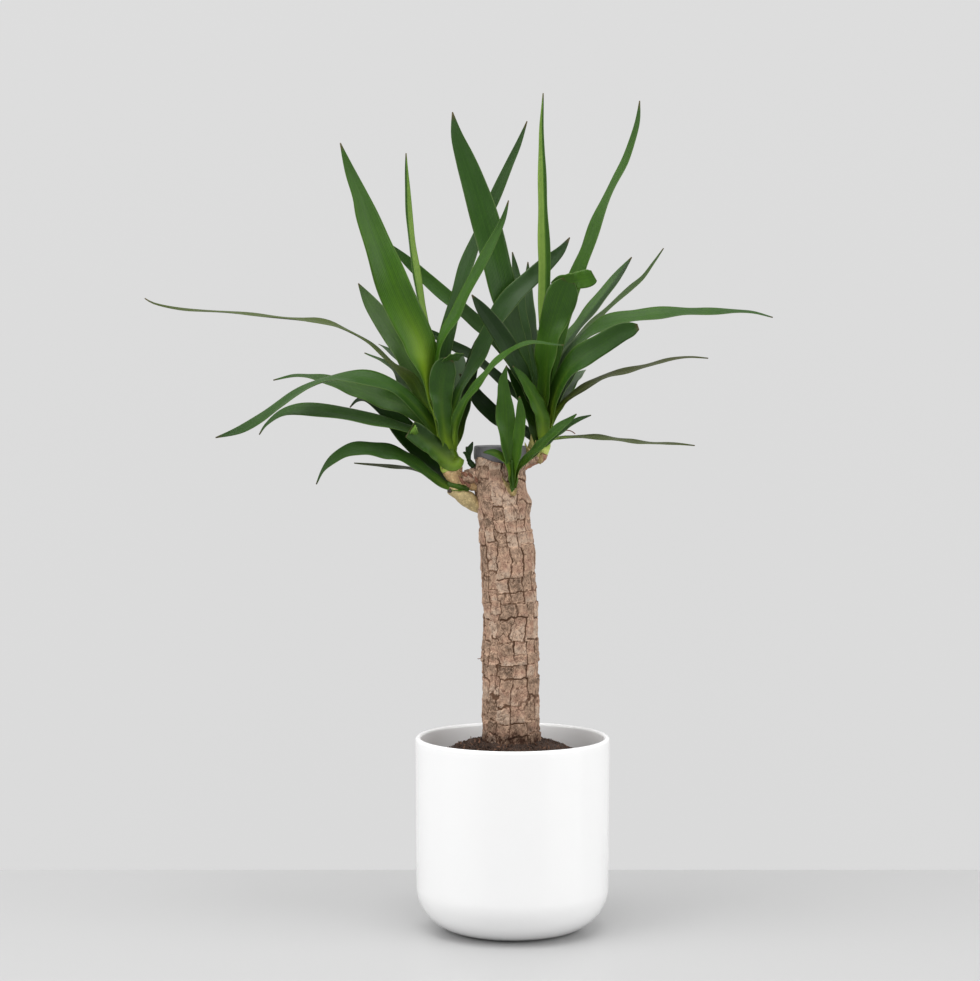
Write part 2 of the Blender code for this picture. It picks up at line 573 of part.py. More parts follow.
def cane_radius(height, radius, angle):
    """The cane's radius at an angle, with its long lumps and the knuckle on its right side."""
    buried = min(max((height - 160) / 20, 0.0), 1.0)
    lump = math.sin(3 * angle + height * 0.021) * 0.5 + math.sin(5 * angle - height * 0.034 + 1.3) * 0.5
    knuckle = math.exp(-((height - KNUCKLE_HEIGHT) / 6.5) ** 2) * max(math.cos(angle), 0.0) ** 3
    return radius + buried * CANE_LUMP * lump + KNUCKLE_RISE * knuckle


def wax_edge(angle):
    """The height of the wax's lower edge at an angle round the cane."""
    return WAX_EDGE + 2.6 * math.sin(angle) - 0.8 * math.cos(angle) + 0.7 * math.sin(3 * angle + 1.0)


def make_cane(parts, cutters):
    """The cut cane: rings of lumpy outline, narrower where the wax covers its top."""
    rings = []
    turns = [2 * math.pi * i / CANE_SIDES for i in range(CANE_SIDES)]
    for height, x, radius in CANE_RINGS[:-1]:
        rings.append([
            Vector((x + cane_radius(height, radius, a) * math.cos(a), cane_radius(height, radius, a) * math.sin(a),
                    height)) for a in turns
        ])
    _, x, radius = CANE_RINGS[-1]
    for rise, inset in ((-1.2, 0.0), (-0.4, WAX_INSET), (None, WAX_INSET)):
        ring = []
        for a in turns:
            height = CANE_TOP if rise is None else wax_edge(a) + rise
            reach = cane_radius(400, radius, a) - inset
            ring.append(Vector((x + reach * math.cos(a), reach * math.sin(a), height)))
        rings.append(ring)
    cane = add_object("cane", mesh_of_rings("cane", rings, True), parts, "bark")
    for name, rows in (("left", STEM_LEFT), ("low_left", STEM_LOW_LEFT), ("right", STEM_RIGHT),
                       ("front", CORE_FRONT), ("bud", CORE_BUD)):
        bore(cane, tube("seat_" + name, rows, 12, cutters, "bark", GAP))
    return cane


def make_wax(parts):
    """A thin cup of wax, upside down over the cane's top."""
    turns = [2 * math.pi * i / CANE_SIDES for i in range(CANE_SIDES)]
    _, x, radius = CANE_RINGS[-1]
    inner = -WAX_INSET + GAP

    def ring(offset, height, share=1.0):
        found = []
        for a in turns:
            reach = (cane_radius(400, radius, a) + offset) * share
            z = wax_edge(a) if height is None else height
            found.append(Vector((x + reach * math.cos(a), reach * math.sin(a), z)))
        return found

    outer = inner + WAX_WALL
    rings = [ring(inner, CANE_TOP + GAP, 0.5), ring(inner, CANE_TOP + GAP), ring(inner, None), ring(outer, None),
             ring(outer, WAX_TOP - 0.9), ring(outer - 1.0, WAX_TOP), ring(outer, WAX_TOP, 0.5)]
    return add_object("wax_cap", mesh_of_rings("wax_cap", rings, True), parts, "wax")


def main():
    clear_scene()
    parts = new_collection(OBJECT_NAME)
    cutters = new_collection("cutters")
    make_pot(parts)
    make_soil(parts, cutters)
    make_cane(parts, cutters)
    make_wax(parts)
    tube("stem_left", STEM_LEFT, 12, parts, "stem")
    tube("stem_low_left", STEM_LOW_LEFT, 12, parts, "stem")
    tube("stem_right", STEM_RIGHT, 12, parts, "stem")
    leafy_shoot("head_left", CORE_LEFT, LEFT_BLADES, parts, "leaf", LEFT_BACK, 3)
    leafy_shoot("shoot_low_left", CORE_LOW_LEFT, LOW_LEFT_BLADES, parts, "leaf")
    leafy_shoot("head_right", CORE_RIGHT, RIGHT_BLADES, parts, "leaf", RIGHT_BACK, 7)
    leafy_shoot("shoot_front", CORE_FRONT, FRONT_BLADES, parts, "young_leaf")
    leafy_shoot("bud", CORE_BUD, BUD_BLADES, parts, "young_leaf")


main()
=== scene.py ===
"""Potted yucca: the finished look of a cut cane with leafy heads in a white glazed pot.

The panel's buttons make the pot, the soil, the cane with its wax, the young stems, the heads of
blades and the stage, each in place of the plain solid that the frame holds. Sizes are metres, and
the tables of blades are millimetres, as read in the front view.
"""

import math
import random

import bmesh
import bpy
import numpy as np
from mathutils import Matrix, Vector, noise


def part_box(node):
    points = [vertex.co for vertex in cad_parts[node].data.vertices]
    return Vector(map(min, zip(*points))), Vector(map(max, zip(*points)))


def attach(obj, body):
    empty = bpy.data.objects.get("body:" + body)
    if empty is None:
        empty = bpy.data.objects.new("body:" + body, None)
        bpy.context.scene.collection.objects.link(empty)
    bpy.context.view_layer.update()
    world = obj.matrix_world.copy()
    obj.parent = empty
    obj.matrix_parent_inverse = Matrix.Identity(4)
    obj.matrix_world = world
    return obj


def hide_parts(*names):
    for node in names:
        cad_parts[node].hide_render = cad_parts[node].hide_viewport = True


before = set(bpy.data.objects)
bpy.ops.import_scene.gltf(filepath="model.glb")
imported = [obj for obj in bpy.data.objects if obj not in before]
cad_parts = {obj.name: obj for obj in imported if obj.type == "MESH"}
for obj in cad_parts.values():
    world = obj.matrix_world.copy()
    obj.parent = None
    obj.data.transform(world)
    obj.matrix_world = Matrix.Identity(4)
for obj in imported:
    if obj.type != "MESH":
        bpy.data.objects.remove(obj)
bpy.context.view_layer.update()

bl_info = {
    "name": "Potted yucca",
    "version": (1, 0, 0),
    "blender": (4, 5, 0),
    "location": "3D View > Sidebar > Yucca",
    "description": "Makes a potted yucca with plated bark, veined blades, soil and a glazed pot",
    "category": "Object",
}

MM = 0.001
BODY = "root"

# The front view in which the blades' tables were read
EYE_X = -19.1
EYE_DISTANCE = 2000.0
EYE_Z = 477.7

# Ordinary height of a plate of bark, and the place and rise of the cane's knuckle, in millimetres
PLATE_HEIGHT = 14.0
KNUCKLE_HEIGHT = 362.0
KNUCKLE_RISE = 2.6

# The wax's lower edge in millimetres, and the angle at which bark reaches higher into it
WAX_EDGE = 400.0
WAX_ARCH = 3.6
WAX_ARCH_ANGLE = math.radians(222)

# Where the cane stands in the pot, and the radius of the hole for it in the soil, in metres
CANE_FOOT_X = -0.0015
SOIL_HOLE = 0.0249

# Dry chips on the soil: how many, their size in metres, and how much longer than broad
CHIP_COUNT = 420
CHIP_SIZE = 0.0017
CHIP_STRETCH = 3.4

# Points of a thread's mesh closer than this, in metres, become one
WELD = 0.000005

# How far out from a blade's root its yellow keel is brightest, and how far it reaches, in millimetres
BROAD_KEEL = (68.0, 42.0)
ORDINARY_KEEL = (10.0, 26.0)

# Points across a blade
BLADE_COLUMNS = 11

# Even glow of the stage's wall
WALL_GLOW = 0.945

# The cane's line: height, centre x and radius in millimetres
CANE_LINE = np.array((
    (158.0, -1.5, 24.8), (180.0, -1.5, 24.5), (200.0, -1.4, 24.3), (215.0, -1.5, 24.0), (231.0, -1.6, 23.9),
    (247.0, -1.4, 23.5), (262.0, -1.3, 23.2), (275.0, -1.7, 23.4), (287.0, -2.2, 23.1), (301.0, -3.2, 22.8),
    (316.0, -4.2, 22.6), (328.0, -5.2, 22.5), (340.0, -6.3, 22.3), (350.0, -7.4, 22.1), (358.0, -8.2, 21.9),
    (366.0, -9.0, 21.9), (374.0, -10.2, 21.6), (384.0, -10.9, 21.5), (394.0, -11.0, 21.4),
    (409.6, -11.0, 21.4)))

# Soil: height of its surface at each distance from the cane's axis, in millimetres
SOIL_SURFACE = np.array(((24.0, 160.8), (35.0, 158.5), (43.0, 156.0), (51.0, 152.0), (60.0, 147.5),
                         (69.0, 142.5), (77.0, 139.0)))

# Stems and leafy cores: x, y, z and radius in millimetres
STEM_LEFT = ((-29, -2, 377, 4.8), (-36, -3, 379, 5.2), (-45.5, -4, 383, 6.4), (-49.23, -4, 387.07, 8.0),
             (-50.75, -4, 391.25, 9.0))
STEM_LOW_LEFT = ((-25, -3, 356.5, 4.0), (-31, -4, 360.5, 5.4), (-36.5, -4.5, 365, 7.0), (-41, -5, 368.2, 6.8),
                 (-46, -5.5, 370.8, 5.4), (-50.5, -6, 373.0, 4.2), (-54, -6, 374.6, 3.2))
STEM_RIGHT = ((5, 8, 391, 3.6), (10, 10, 394, 4.0), (18, 12.5, 399, 4.8), (22.8, 13.4, 401.9, 6.4),
              (23.32, 13.57, 404.26, 6.9))
CORE_LEFT = ((-50.9, -4, 391.6, 9.0), (-52.5, -4, 396, 9.3), (-54.5, -4, 405, 7.8), (-56, -4, 418, 5.2),
             (-57, -4, 436, 2.2))
CORE_LOW_LEFT = ((-37, -6, 374.5, 2.6), (-42, -6.5, 376, 3.4), (-48, -6, 377.5, 3.6), (-55, -5, 379, 2.6))
CORE_RIGHT = ((23.4, 13.6, 404.6, 6.9), (24.6, 14, 410, 7.4), (25.5, 14, 422, 6.4), (26.2, 14, 438, 4.6),
              (26.6, 14, 454, 2.2))
CORE_FRONT = ((-1, -17.5, 370, 3.8), (-0.6, -20, 374, 4.4), (-0.4, -24.5, 386, 3.9), (-0.6, -27, 400, 2.0))
CORE_BUD = ((-32.5, -8.8, 394, 2.3), (-35, -9.5, 396.5, 2.6), (-37.2, -10.2, 400, 1.6))

# Blades: name, root height on the core or None for the flap of a fold, widest breadth, which way it turns
# from the viewer, channel angle, tone from dark 0 to pale 1, which paints the blade's shade or light as well
# as its own green, or a pair for its painted lit and shaded halves, glow of its young base, depths at root,
# thirds and tip, and rows of x, z and seen breadth from root to tip, in millimetres and degrees
LEFT_BLADES = (
    ("broad", 400, 28.5, 1, 12, 0.53, 1.0, (-8, -13, -20, -28), (
        (-62, 413, 4), (-63.5, 424, 4), (-66.5, 436, 4), (-71, 448, 4), (-73.5, 462, 4.5), (-74.2, 471, 9),
        (-75.2, 481, 18), (-77.5, 491, 25), (-81, 503, 27), (-89, 520, 28.5), (-102.5, 550, 28),
        (-122, 600, 18.6), (-128.7, 620, 13), (-136.5, 640, 9), (-144.8, 665.5, 1))),
    ("upright", 408, 14, 1, 24, (0.40, 0.85), 0.4, (-3, 3, 10, 16), (
        (-60, 430, 5), (-72, 480, 6), (-79, 530, 6), (-84, 560, 5.5), (-88.4, 600, 5.2), (-89.3, 630, 4),
        (-89.6, 657, 1))),
    ("grey_back", 404, 20, 1, 10, 0.45, 0.3, (-3, 14, 34, 56), (
        (-67, 435, 11), (-75, 455, 14), (-85, 475, 16), (-97, 497, 17), (-108, 515, 17), (-120, 532, 12),
        (-130, 548, 1))),
    ("long_thin", 402, 15, 1, 8, 0.5, 0.8, (-6, -8, -3, 10), (
        (-65, 428, 8), (-70, 440, 10), (-77, 452, 10), (-85, 466, 11), (-93, 473, 8), (-102, 480, 3),
        (-122, 498, 2), (-143, 509.5, 2), (-160, 515, 3.5), (-178, 517, 2.6), (-204, 519.4, 2),
        (-239, 523.3, 1.4), (-275, 525.5, 2), (-300, 530.4, 1.5), (-310, 535.4, 0.9))),
    ("short_back", 405, 17, 1, 10, 0.5, 0.7, (-2, 16, 38, 62), (
        (-68, 430, 8), (-74, 440, 9), (-84, 453, 9), (-94, 466, 8), (-101, 476, 4.5), (-110, 482.5, 2.5),
        (-125, 489.5, 1))),
    ("drooping", 398, 22, 1, 10, 0.38, 0.5, (-8, -22, -34, -40), (
        (-62, 417, 9), (-70, 430, 9), (-84, 446, 10), (-100, 459.5, 10.5), (-120, 466.5, 11), (-140, 468, 8),
        (-160, 465, 5), (-180, 456, 4.5), (-197, 444.5, 6.5), (-212, 434, 8), (-230, 424.5, 6.5),
        (-251, 418, 1))),
    ("level_back", 400, 20, 1, 10, 0.50, 0.3, (-4, 5, 16, 26), (
        (-65, 422, 10), (-75, 433, 12), (-90, 443, 14), (-110, 451, 17), (-130, 458, 14), (-150, 464, 10),
        (-168, 468.5, 4), (-185, 469.8, 2.5), (-202, 466.5, 1))),
    ("level_front", 397, 18, 1, 10, 0.42, 0.2, (-9, -15, -18, -16), (
        (-62, 413, 8), (-75, 421, 8), (-90, 425, 7), (-105, 429.2, 7), (-120, 432.5, 8.5), (-140, 437, 11),
        (-160, 440, 10.5), (-180, 441.3, 9.5), (-195, 438.3, 6), (-208, 429, 2.4), (-214, 420.5, 1))),
    ("cropped", None, 18, 1, 14, (0.42, 0.22), 0.30, (-10.5, -17.5, -29, -40), (
        (-42.8, 400.5, 6), (-45.5, 397.2, 9.5), (-50, 395.6, 12), (-55, 398, 14), (-60, 402.8, 15),
        (-68, 410.8, 16), (-80, 421, 17), (-86.6, 425.2, 15))),
    ("cropped_tip", None, 12, 1, 0, 0.75, 0.0, (-39, -41, -43, -44), (
        (-86.4, 425.2, 12), (-84, 424, 9), (-80, 421.5, 1.5))),
    ("folded", 397, 20, 1, 10, 0.40, 0.5, (-10, -28, -42, -52), (
        (-55, 410, 9), (-57.5, 420, 10), (-60, 440, 14), (-60.5, 455, 19), (-59.5, 468, 21), (-57, 477, 19.5),
        (-54.5, 482.5, 12), (-53.5, 485, 5))),
    ("folded_flap", None, 13, 1, 4, 0.44, 0.0, (-51.5, -54, -55, -55), (
        (-59.5, 481.5, 1.5), (-54.5, 484.2, 5), (-48.5, 486.2, 6.5), (-41.0, 488.8, 0.6))),
    ("to_right", 404, 15, -1, 14, 0.5, 0.4, (-6, -12, -20, -24), (
        (-55, 412, 6), (-59, 440, 7), (-62.5, 470, 6), (-62, 490, 5), (-57, 505, 6), (-47.5, 520, 8.5),
        (-40, 537, 9), (-30.5, 555, 9), (-23, 570, 8.5), (-15.5, 585, 7), (-8, 602, 4.5), (-3.5, 617.5, 1))),
    ("tall_right", 408, 17, -1, 14, 0.3, 0.2, (-2, 6, 30, 44), (
        (-54, 418, 8), (-57, 450, 10), (-58, 480, 12), (-56, 497, 13), (-51, 517, 12), (-45, 540, 11),
        (-38, 562, 11), (-27, 590, 9.5), (-17, 613, 9.5), (-9, 632, 9), (-1.5, 650, 7), (5, 665, 5),
        (12, 683.6, 1))),
    ("dark_right", 400, 20, -1, 12, 0.28, 0.4, (-6, -8, 4, 26), (
        (-52, 412, 5), (-52, 425, 5), (-50, 440, 6), (-45, 456, 7), (-37, 470, 9.5), (-28, 485, 11),
        (-22, 500, 13), (-12, 520, 15), (0, 537, 16), (14, 551, 15), (28, 564, 13), (40, 575, 8),
        (48, 586.5, 1))),
    ("front_arc", 398, 13, -1, 16, 0.5, 0.5, (-14, -30, -42, -46), (
        (-49.5, 414, 7), (-49, 423, 7), (-47.5, 431.5, 8), (-44, 440, 7), (-39.7, 448, 6.5), (-34.5, 455, 6),
        (-27.6, 463.5, 5.5), (-21.5, 471.3, 5), (-15.4, 479, 4.5), (-8.5, 485.2, 4), (0, 491.3, 4),
        (8.8, 495.6, 3.5), (18, 497.8, 2.4), (32.7, 496.7, 2), (43, 496, 1))),
    ("dark_inner", 401, 15, -1, 10, 0.1, 0.3, (-4, 0, 4, 7), (
        (-47.5, 412, 5), (-43, 425, 6), (-39, 445, 8), (-37, 460, 10), (-34, 480, 11), (-31, 496, 5),
        (-29, 503, 1))),
)
LOW_LEFT_BLADES = (
    ("drooping", 370.5, 16, 1, 10, 0.4, 0.2, (-6, -10, -16, -20), (
        (-56, 377, 6), (-68, 385, 8), (-80, 394, 8), (-95, 402.5, 10), (-108, 406, 12), (-125, 408.3, 11),
        (-138, 407, 10), (-150, 400.5, 8), (-160, 390.5, 3), (-166, 378.5, 1))),
    ("thin", 371.5, 8, 1, 6, 0.35, 0.1, (-4, 3, 10, 16), (
        (-56, 376.6, 3), (-62, 381.3, 2.6), (-69, 385.6, 2.6), (-78, 389.6, 2.6), (-88, 392, 2.5),
        (-99, 393, 2.4), (-116, 394.8, 2), (-134, 396.5, 1))),
    ("shaded", 372.5, 21, 1, 10, 0.15, 0.0, (-2, 16, 21, 24), (
        (-56, 381.5, 6), (-64.5, 391.5, 12), (-75, 403, 17), (-93, 425, 18), (-108, 441, 13), (-122, 450, 6),
        (-131, 449.5, 3), (-137.4, 443.5, 1))),
)
RIGHT_BLADES = (
    ("tall_dark", 410, 24.5, 1, 8, 0.36, 0.2, (12, 14, 14, 18), (
        (22, 430, 8), (18, 450, 8), (10, 475, 12), (2, 500, 16), (-5, 525, 20), (-11, 552, 23),
        (-17.5, 580, 24.5), (-25, 607, 24), (-33, 632, 20.5), (-40, 652, 16.5), (-47, 672, 10),
        (-50.6, 691.3, 1))),
    ("back_upright", 418, 18, 1, 10, 0.25, 0.1, (14, 26, 46, 68), (
        (22, 440, 10), (18, 460, 12), (13, 480, 12), (8, 500, 15), (5, 520, 14), (3.5, 540, 12), (2, 560, 6),
        (-0.3, 574.3, 1))),
    ("back_inner", 420, 14, -1, 10, 0.25, 0.1, (16, 32, 58, 82), (
        (24, 440, 8), (20, 480, 10), (15, 520, 10), (13, 550, 6), (12.8, 566, 1))),
    ("dark_front", 408, 17, 1, 10, 0.1, 0.0, (8, -6, -22, -34), (
        (20, 440, 8), (14, 455, 10), (7, 472, 13), (-1, 488, 15), (-9, 503, 15), (-18, 516, 13),
        (-27, 528, 9), (-34.5, 538.5, 1))),
    ("upright", 424, 12, -1, 26, (0.88, 0.42), 0.3, (14, 6, -1, -4), (
        (27.5, 450, 7), (28, 480, 9), (28, 540, 10), (28.3, 565, 10.4), (27.4, 600, 8.5), (26.2, 640, 6.5),
        (25.4, 660, 5), (24.7, 682, 3.3), (25.5, 707, 1))),
    ("folded", 412, 28, -1, 10, 0.50, 0.62, (10, -6, -22, -40), (
        (27, 440, 6), (28, 460, 10), (29, 480, 14), (31, 500, 18), (36, 520, 24), (40, 533, 27),
        (43.5, 543, 24), (46, 550, 13), (46.6, 552.5, 5))),
    ("folded_flap", None, 15, 1, 4, 0.56, 0.0, (-33, -39, -42, -43), (
        (33.5, 546, 6), (40, 549.5, 10), (50, 550, 13), (60, 551.5, 15), (65.5, 553, 14),
        (68.5, 554.5, 10))),
    ("far_left", 414, 16, 1, 10, 0.42, 0.2, (16, 22, 28, 32), (
        (20, 440, 6), (8, 468, 10), (-15, 501, 11), (-30, 514, 12), (-45, 527.5, 12), (-60, 540, 11.5),
        (-75, 554, 10.5), (-90, 568, 8), (-105, 582, 1))),
    ("tall_curved", 412, 18, -1, 12, 0.5, 0.4, (14, 10, 12, 26), (
        (27, 440, 8), (30, 465, 10), (36, 490, 12), (43, 515, 12.5), (50, 540, 12.5), (57, 560, 12.5),
        (64.5, 578, 10.5), (72, 600, 8.5), (79.5, 618, 7), (86, 632, 6), (95, 650, 5.7), (101.5, 670, 5.2),
        (105, 685, 4), (106.4, 700.6, 1))),
    # painted light and shade: one half of this blade is toned lit and the other shaded
    ("two_tone", 416, 20, -1, 14, (0.5, 0.2), 0.2, (18, 36, 64, 94), (
        (28, 445, 8), (31, 462, 7), (37, 482, 7), (46, 498, 8), (57, 512, 9), (70, 529, 9), (82, 545, 9),
        (92, 559, 6), (100.2, 570, 1))),
    ("grey_thin", 414, 14, -1, 8, 0.5, 0.2, (16, 28, 42, 56), (
        (30, 448, 5), (34, 465, 4), (42, 485, 4), (52, 498.5, 3.4), (64, 511, 3.8), (78, 524, 3),
        (90, 535, 4.5), (100, 544, 4.2), (110, 553, 2.8), (118.5, 565, 2), (127, 577.5, 0.9))),
    ("long", 410, 20, -1, 10, 0.44, 0.9, (12, 6, -4, -10), (
        (33, 452, 5), (39, 470, 5), (48, 488, 6), (60, 501.5, 8), (75, 512, 10), (90, 517.5, 11),
        (105, 519.8, 11), (120, 521.5, 9.5), (138, 523, 8.3), (155, 523.3, 6.3), (175, 523.6, 5),
        (190, 524, 3), (204, 523.2, 2), (219.2, 519.3, 0.9))),
    ("blunt", 408, 22, -1, 10, 0.40, 0.95, (8, -14, -34, -50), (
        (32, 435, 8), (35, 450, 8), (40, 463, 10), (48, 476, 15), (60, 487, 18.5), (75, 497, 18),
        (90, 506, 16), (100, 509.5, 12), (106, 511.5, 5))),
    ("thin", 407.5, 14, -1, 8, 0.30, 1.0, (10, 2, -8, -18), (
        (33.5, 433.7, 4), (43, 446.7, 4.3), (50, 452.8, 4.5), (58.7, 458.8, 4.5), (67, 463.6, 4.2),
        (80, 469.7, 4.3), (99, 474.5, 3.7), (116.4, 479, 3), (133.7, 483.8, 2), (150, 485.8, 1.5),
        (165, 485, 0.9))),
    ("lowest", 406.5, 12, -1, 6, 0.42, 0.7, (10, 0, -8, -14), (
        (32, 415.5, 2.4), (41, 417.7, 2), (50, 418.3, 2.2), (60, 418.5, 3), (71.7, 418.1, 3.3),
        (84.7, 416.6, 3.2), (99, 414.8, 2.4), (115, 413.2, 1.8), (139.7, 412.6, 1.5), (154, 411.3, 0.9))),
    ("green_front", 406.5, 14, 1, 12, 0.55, 0.5, (2, -8, -16, -24), (
        (26, 414, 8), (25.6, 425, 11), (24, 437, 12), (18.8, 449, 11), (13, 460, 9), (7, 470, 6),
        (0.2, 478.5, 1))),
    ("dark_small", 408, 14, 1, 10, 0.28, 0.1, (4, -3, -8, -14), (
        (20, 420, 9), (15.5, 436, 10.5), (9.5, 450, 11), (3, 463, 8), (-5, 478, 1))),
    ("far_left_low", 412, 14, 1, 10, 0.2, 0.0, (16, 20, 24, 28), (
        (15, 440, 6), (-5, 461, 7), (-20, 475, 8), (-35, 487, 8), (-50, 495, 8), (-66, 505, 6),
        (-78, 511, 1))),
    ("behind_cane", 408, 15, 1, 10, 0.08, 0.0, (17, 25, 22, 20), (
        (12, 422, 8), (-5, 430, 12), (-17, 438.5, 14), (-28, 450, 13), (-38, 464, 8), (-45, 472, 1))),
)
FRONT_BLADES = (
    ("middle", 376, 16, 1, 12, 0.5, 0.1, (-23, -28, -34, -44), (
        (-1.5, 386, 6), (-3, 395, 7), (-5.5, 415, 11), (-6, 431, 16), (-6.5, 441, 15.5), (-7.5, 452, 12),
        (-8, 465, 8), (-5, 479, 1))),
    ("second", 378, 11, -1, 14, 0.56, 0.1, (-25, -31, -39, -47), (
        (1.5, 388, 4), (4.5, 405, 7), (6, 420, 9), (6.8, 435, 8.5), (6.3, 445, 5.5), (5.8, 453, 1))),
    ("right", 377, 12, -1, 14, 0.5, 0.2, (-23, -26, -28, -30), (
        (5, 391, 4), (10, 397, 5), (20, 407, 6.5), (30, 417, 6.5), (40, 427, 6.5), (48, 433, 4.5),
        (54, 438, 1))),
    ("right_back", 379, 9, -1, 10, 0.3, 0.1, (-22, -19, -14, -8), (
        (5, 391, 3), (14, 400, 4), (28, 413, 5), (43, 425, 4.5), (50, 430, 4), (57, 434, 3.5),
        (66.3, 437, 1))),
    ("left", 378, 8, 1, 12, 0.45, 0.3, (-24, -27, -28, -29), (
        (-3, 392, 4), (-8, 400, 5), (-16, 405.5, 6), (-25, 405.5, 1))),
)
BUD_BLADES = (
    ("upper", 397, 5, 1, 8, 0.08, 0.0, (-10, -11, -12, -12.5), (
        (-37.6, 402, 7), (-36.6, 407, 6.5), (-33.6, 414.5, 1))),
    ("inner", 398, 5, -1, 8, 0.1, 0.0, (-9.5, -9, -9, -9), (
        (-37, 402, 6), (-37.5, 406, 5), (-39, 410.5, 1))),
    ("lower", 397, 5, 1, 8, 0.12, 0.0, (-10.5, -12.5, -14, -15), (
        (-38.6, 401, 3.6), (-40, 404, 2.4), (-41.5, 406, 1))),
)

# How brown some thin or old blades are over their whole length
DULL = {"long_thin": 0.38, "thin": 0.42, "lowest": 0.40, "grey_thin": 0.15, "grey_back": 0.08}

# Blades that arch away behind a head: count, first and last heading in degrees, length, seed
LEFT_BACK = (5, 80, 138, 128, 3)
RIGHT_BACK = (7, 52, 112, 128, 7)

# Heads: name, node, slot, core and the share of its radius that is used, blades, rule for the back, the
# core's glow and tone, and the count and breadth of the sheaths at its foot
HEADS = (
    ("left_head", "head_left", "leaf", CORE_LEFT, 1.0, LEFT_BLADES, LEFT_BACK, 1.0, 0.6, (0, 0)),
    ("right_head", "head_right", "leaf", CORE_RIGHT, 1.0, RIGHT_BLADES, RIGHT_BACK, 1.5, 0.9, (3, 13)),
    ("low_left_shoot", "shoot_low_left", "leaf", CORE_LOW_LEFT, 1.0, LOW_LEFT_BLADES, None, 0.1, 0.38,
     (0, 0)),
    ("front_shoot", "shoot_front", "young_leaf", CORE_FRONT, 0.5, FRONT_BLADES, None, 0.2, 0.45, (0, 0)),
    ("side_bud", "bud", "young_leaf", CORE_BUD, 1.0, BUD_BLADES, None, 0.0, 0.12, (0, 0)),
)

# Scales on the stubs: root, tip, breadth, facing and curl, in millimetres
PAPER_SCALES = (
    ((-36, -13, 377), (-41, -13.6, 382), 2.6, (-0.3, -1, 0.2), 0.5),
    ((-34, -13.5, 385), (-38, -14.2, 390.5), 2.4, (0.2, -1, 0), 0.7),
    ((-41, -12.6, 379), (-46, -13.0, 387), 3, (-0.2, -1, -0.2), 0.5),
    ((-30, -14.5, 381), (-32, -15.2, 387), 2.4, (-0.1, -1, 0.1), 0.8),
    ((-38, -13.8, 386), (-45, -13.8, 391), 3, (-0.1, -1, -0.1), 0.6),
    ((-52, -9.5, 387), (-60, -10, 393), 4.5, (-0.5, -1, 0), 0.4),
)
FRONT_STRAW_SCALES = (
    ((-1.0, -21.0, 370), (-9.5, -22.4, 386), 6.5, (-0.5, -1, 0), 0.6),
    ((0.5, -21.6, 370.5), (-6.5, -23.2, 380), 5, (-0.2, -1, 0), 0.4),
    ((0, -21.4, 370), (4.0, -23.2, 377), 4.5, (0.4, -1, 0), 0.4),
)
SHEATH_SCALES = (
    ((13, 3, 399), (10.5, 1, 414), 7, (-0.3, -1, 0), 1.2),
    ((17, 2.5, 400), (15.5, 0, 421), 9, (0, -1, 0), 1.0),
    ((21, 4, 400), (19.5, 0.5, 416), 7, (0.2, -1, 0), 0.5),
)
RIGHT_STRAW_SCALES = (
    ((18, 1.5, 401), (12.5, -1.5, 410), 5, (-0.2, -1, 0), 0.8),
    ((22, 5, 396), (26, 4, 406), 6, (0.3, -1, 0), 0.5),
)

# Callus lumps, a dark lump that stands for the painted shade in the hollow end of the low stub, and the dry
# threads: x, y, z and radius in millimetres
LEFT_CALLUS = ((-27, -5, 386, 8), (-34, -6.5, 386, 7), (-40, -7, 384.5, 5.5), (-44, -6.5, 384, 3))
RIGHT_CALLUS = ((8, 1, 396.5, 5), (13, 3, 399, 4.2), (18, 5, 400.5, 4), (21, 6, 400, 2.5))
HOLE_SHADE = ((-51.8, -8.6, 373.0, 1.4), (-53.4, -9.8, 373.8, 2.1), (-54.2, -10.4, 374.2, 1.3))
ROOT_HAIR = ((-23.0, -5, 234.5), (-25.6, -5.5, 233.2), (-27.2, -5.8, 231.2), (-29.6, -6, 231.0))
DRY_CURL = ((30, 4, 419.5), (36, 0, 421.5), (41, -3, 423.2), (45, -4, 424.3), (49, -4, 423.8),
            (52.8, -4, 421.4))


def length_property(name, description, default):
    return bpy.props.FloatProperty(
        name=name, description=description, default=default, min=0.0, unit="LENGTH", subtype="DISTANCE",
        precision=4)


def colour_property(name, description, default):
    return bpy.props.FloatVectorProperty(
        name=name, description=description, default=default, size=3, min=0.0, max=1.0, subtype="COLOR")


class PotSettings(bpy.types.PropertyGroup):
    radius: length_property("Radius", "Outer radius at the rim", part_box("pot")[1].x)
    taper: length_property("Taper", "How much narrower the wall is at its foot", 0.0007)
    height: length_property("Height", "Height of the rim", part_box("pot")[1].z)
    wall: length_property("Wall", "Thickness of the wall", 0.0047)
    corner: length_property("Corner", "Outer rounding between wall and base", 0.037)
    floor: length_property("Floor", "Thickness of the floor", 0.006)
    glaze: colour_property("Glaze", "Colour of the glaze", (0.88, 0.88, 0.88))


class SoilSettings(bpy.types.PropertyGroup):
    radius: length_property("Radius", "Radius of the soil at the wall", 0.0766)
    roughness: length_property("Roughness", "Height of the lumps of the surface", 0.0030)
    crumb: length_property("Crumb", "Size of an ordinary crumb", 0.0036)
    crumbs: bpy.props.IntProperty(name="Crumbs", description="How many crumbs lie on it", default=2600, min=0)
    dark: colour_property("Dark", "Colour of the wet soil", (0.010, 0.0052, 0.003))
    light: colour_property("Light", "Colour of its dry fibres", (0.15, 0.065, 0.030))


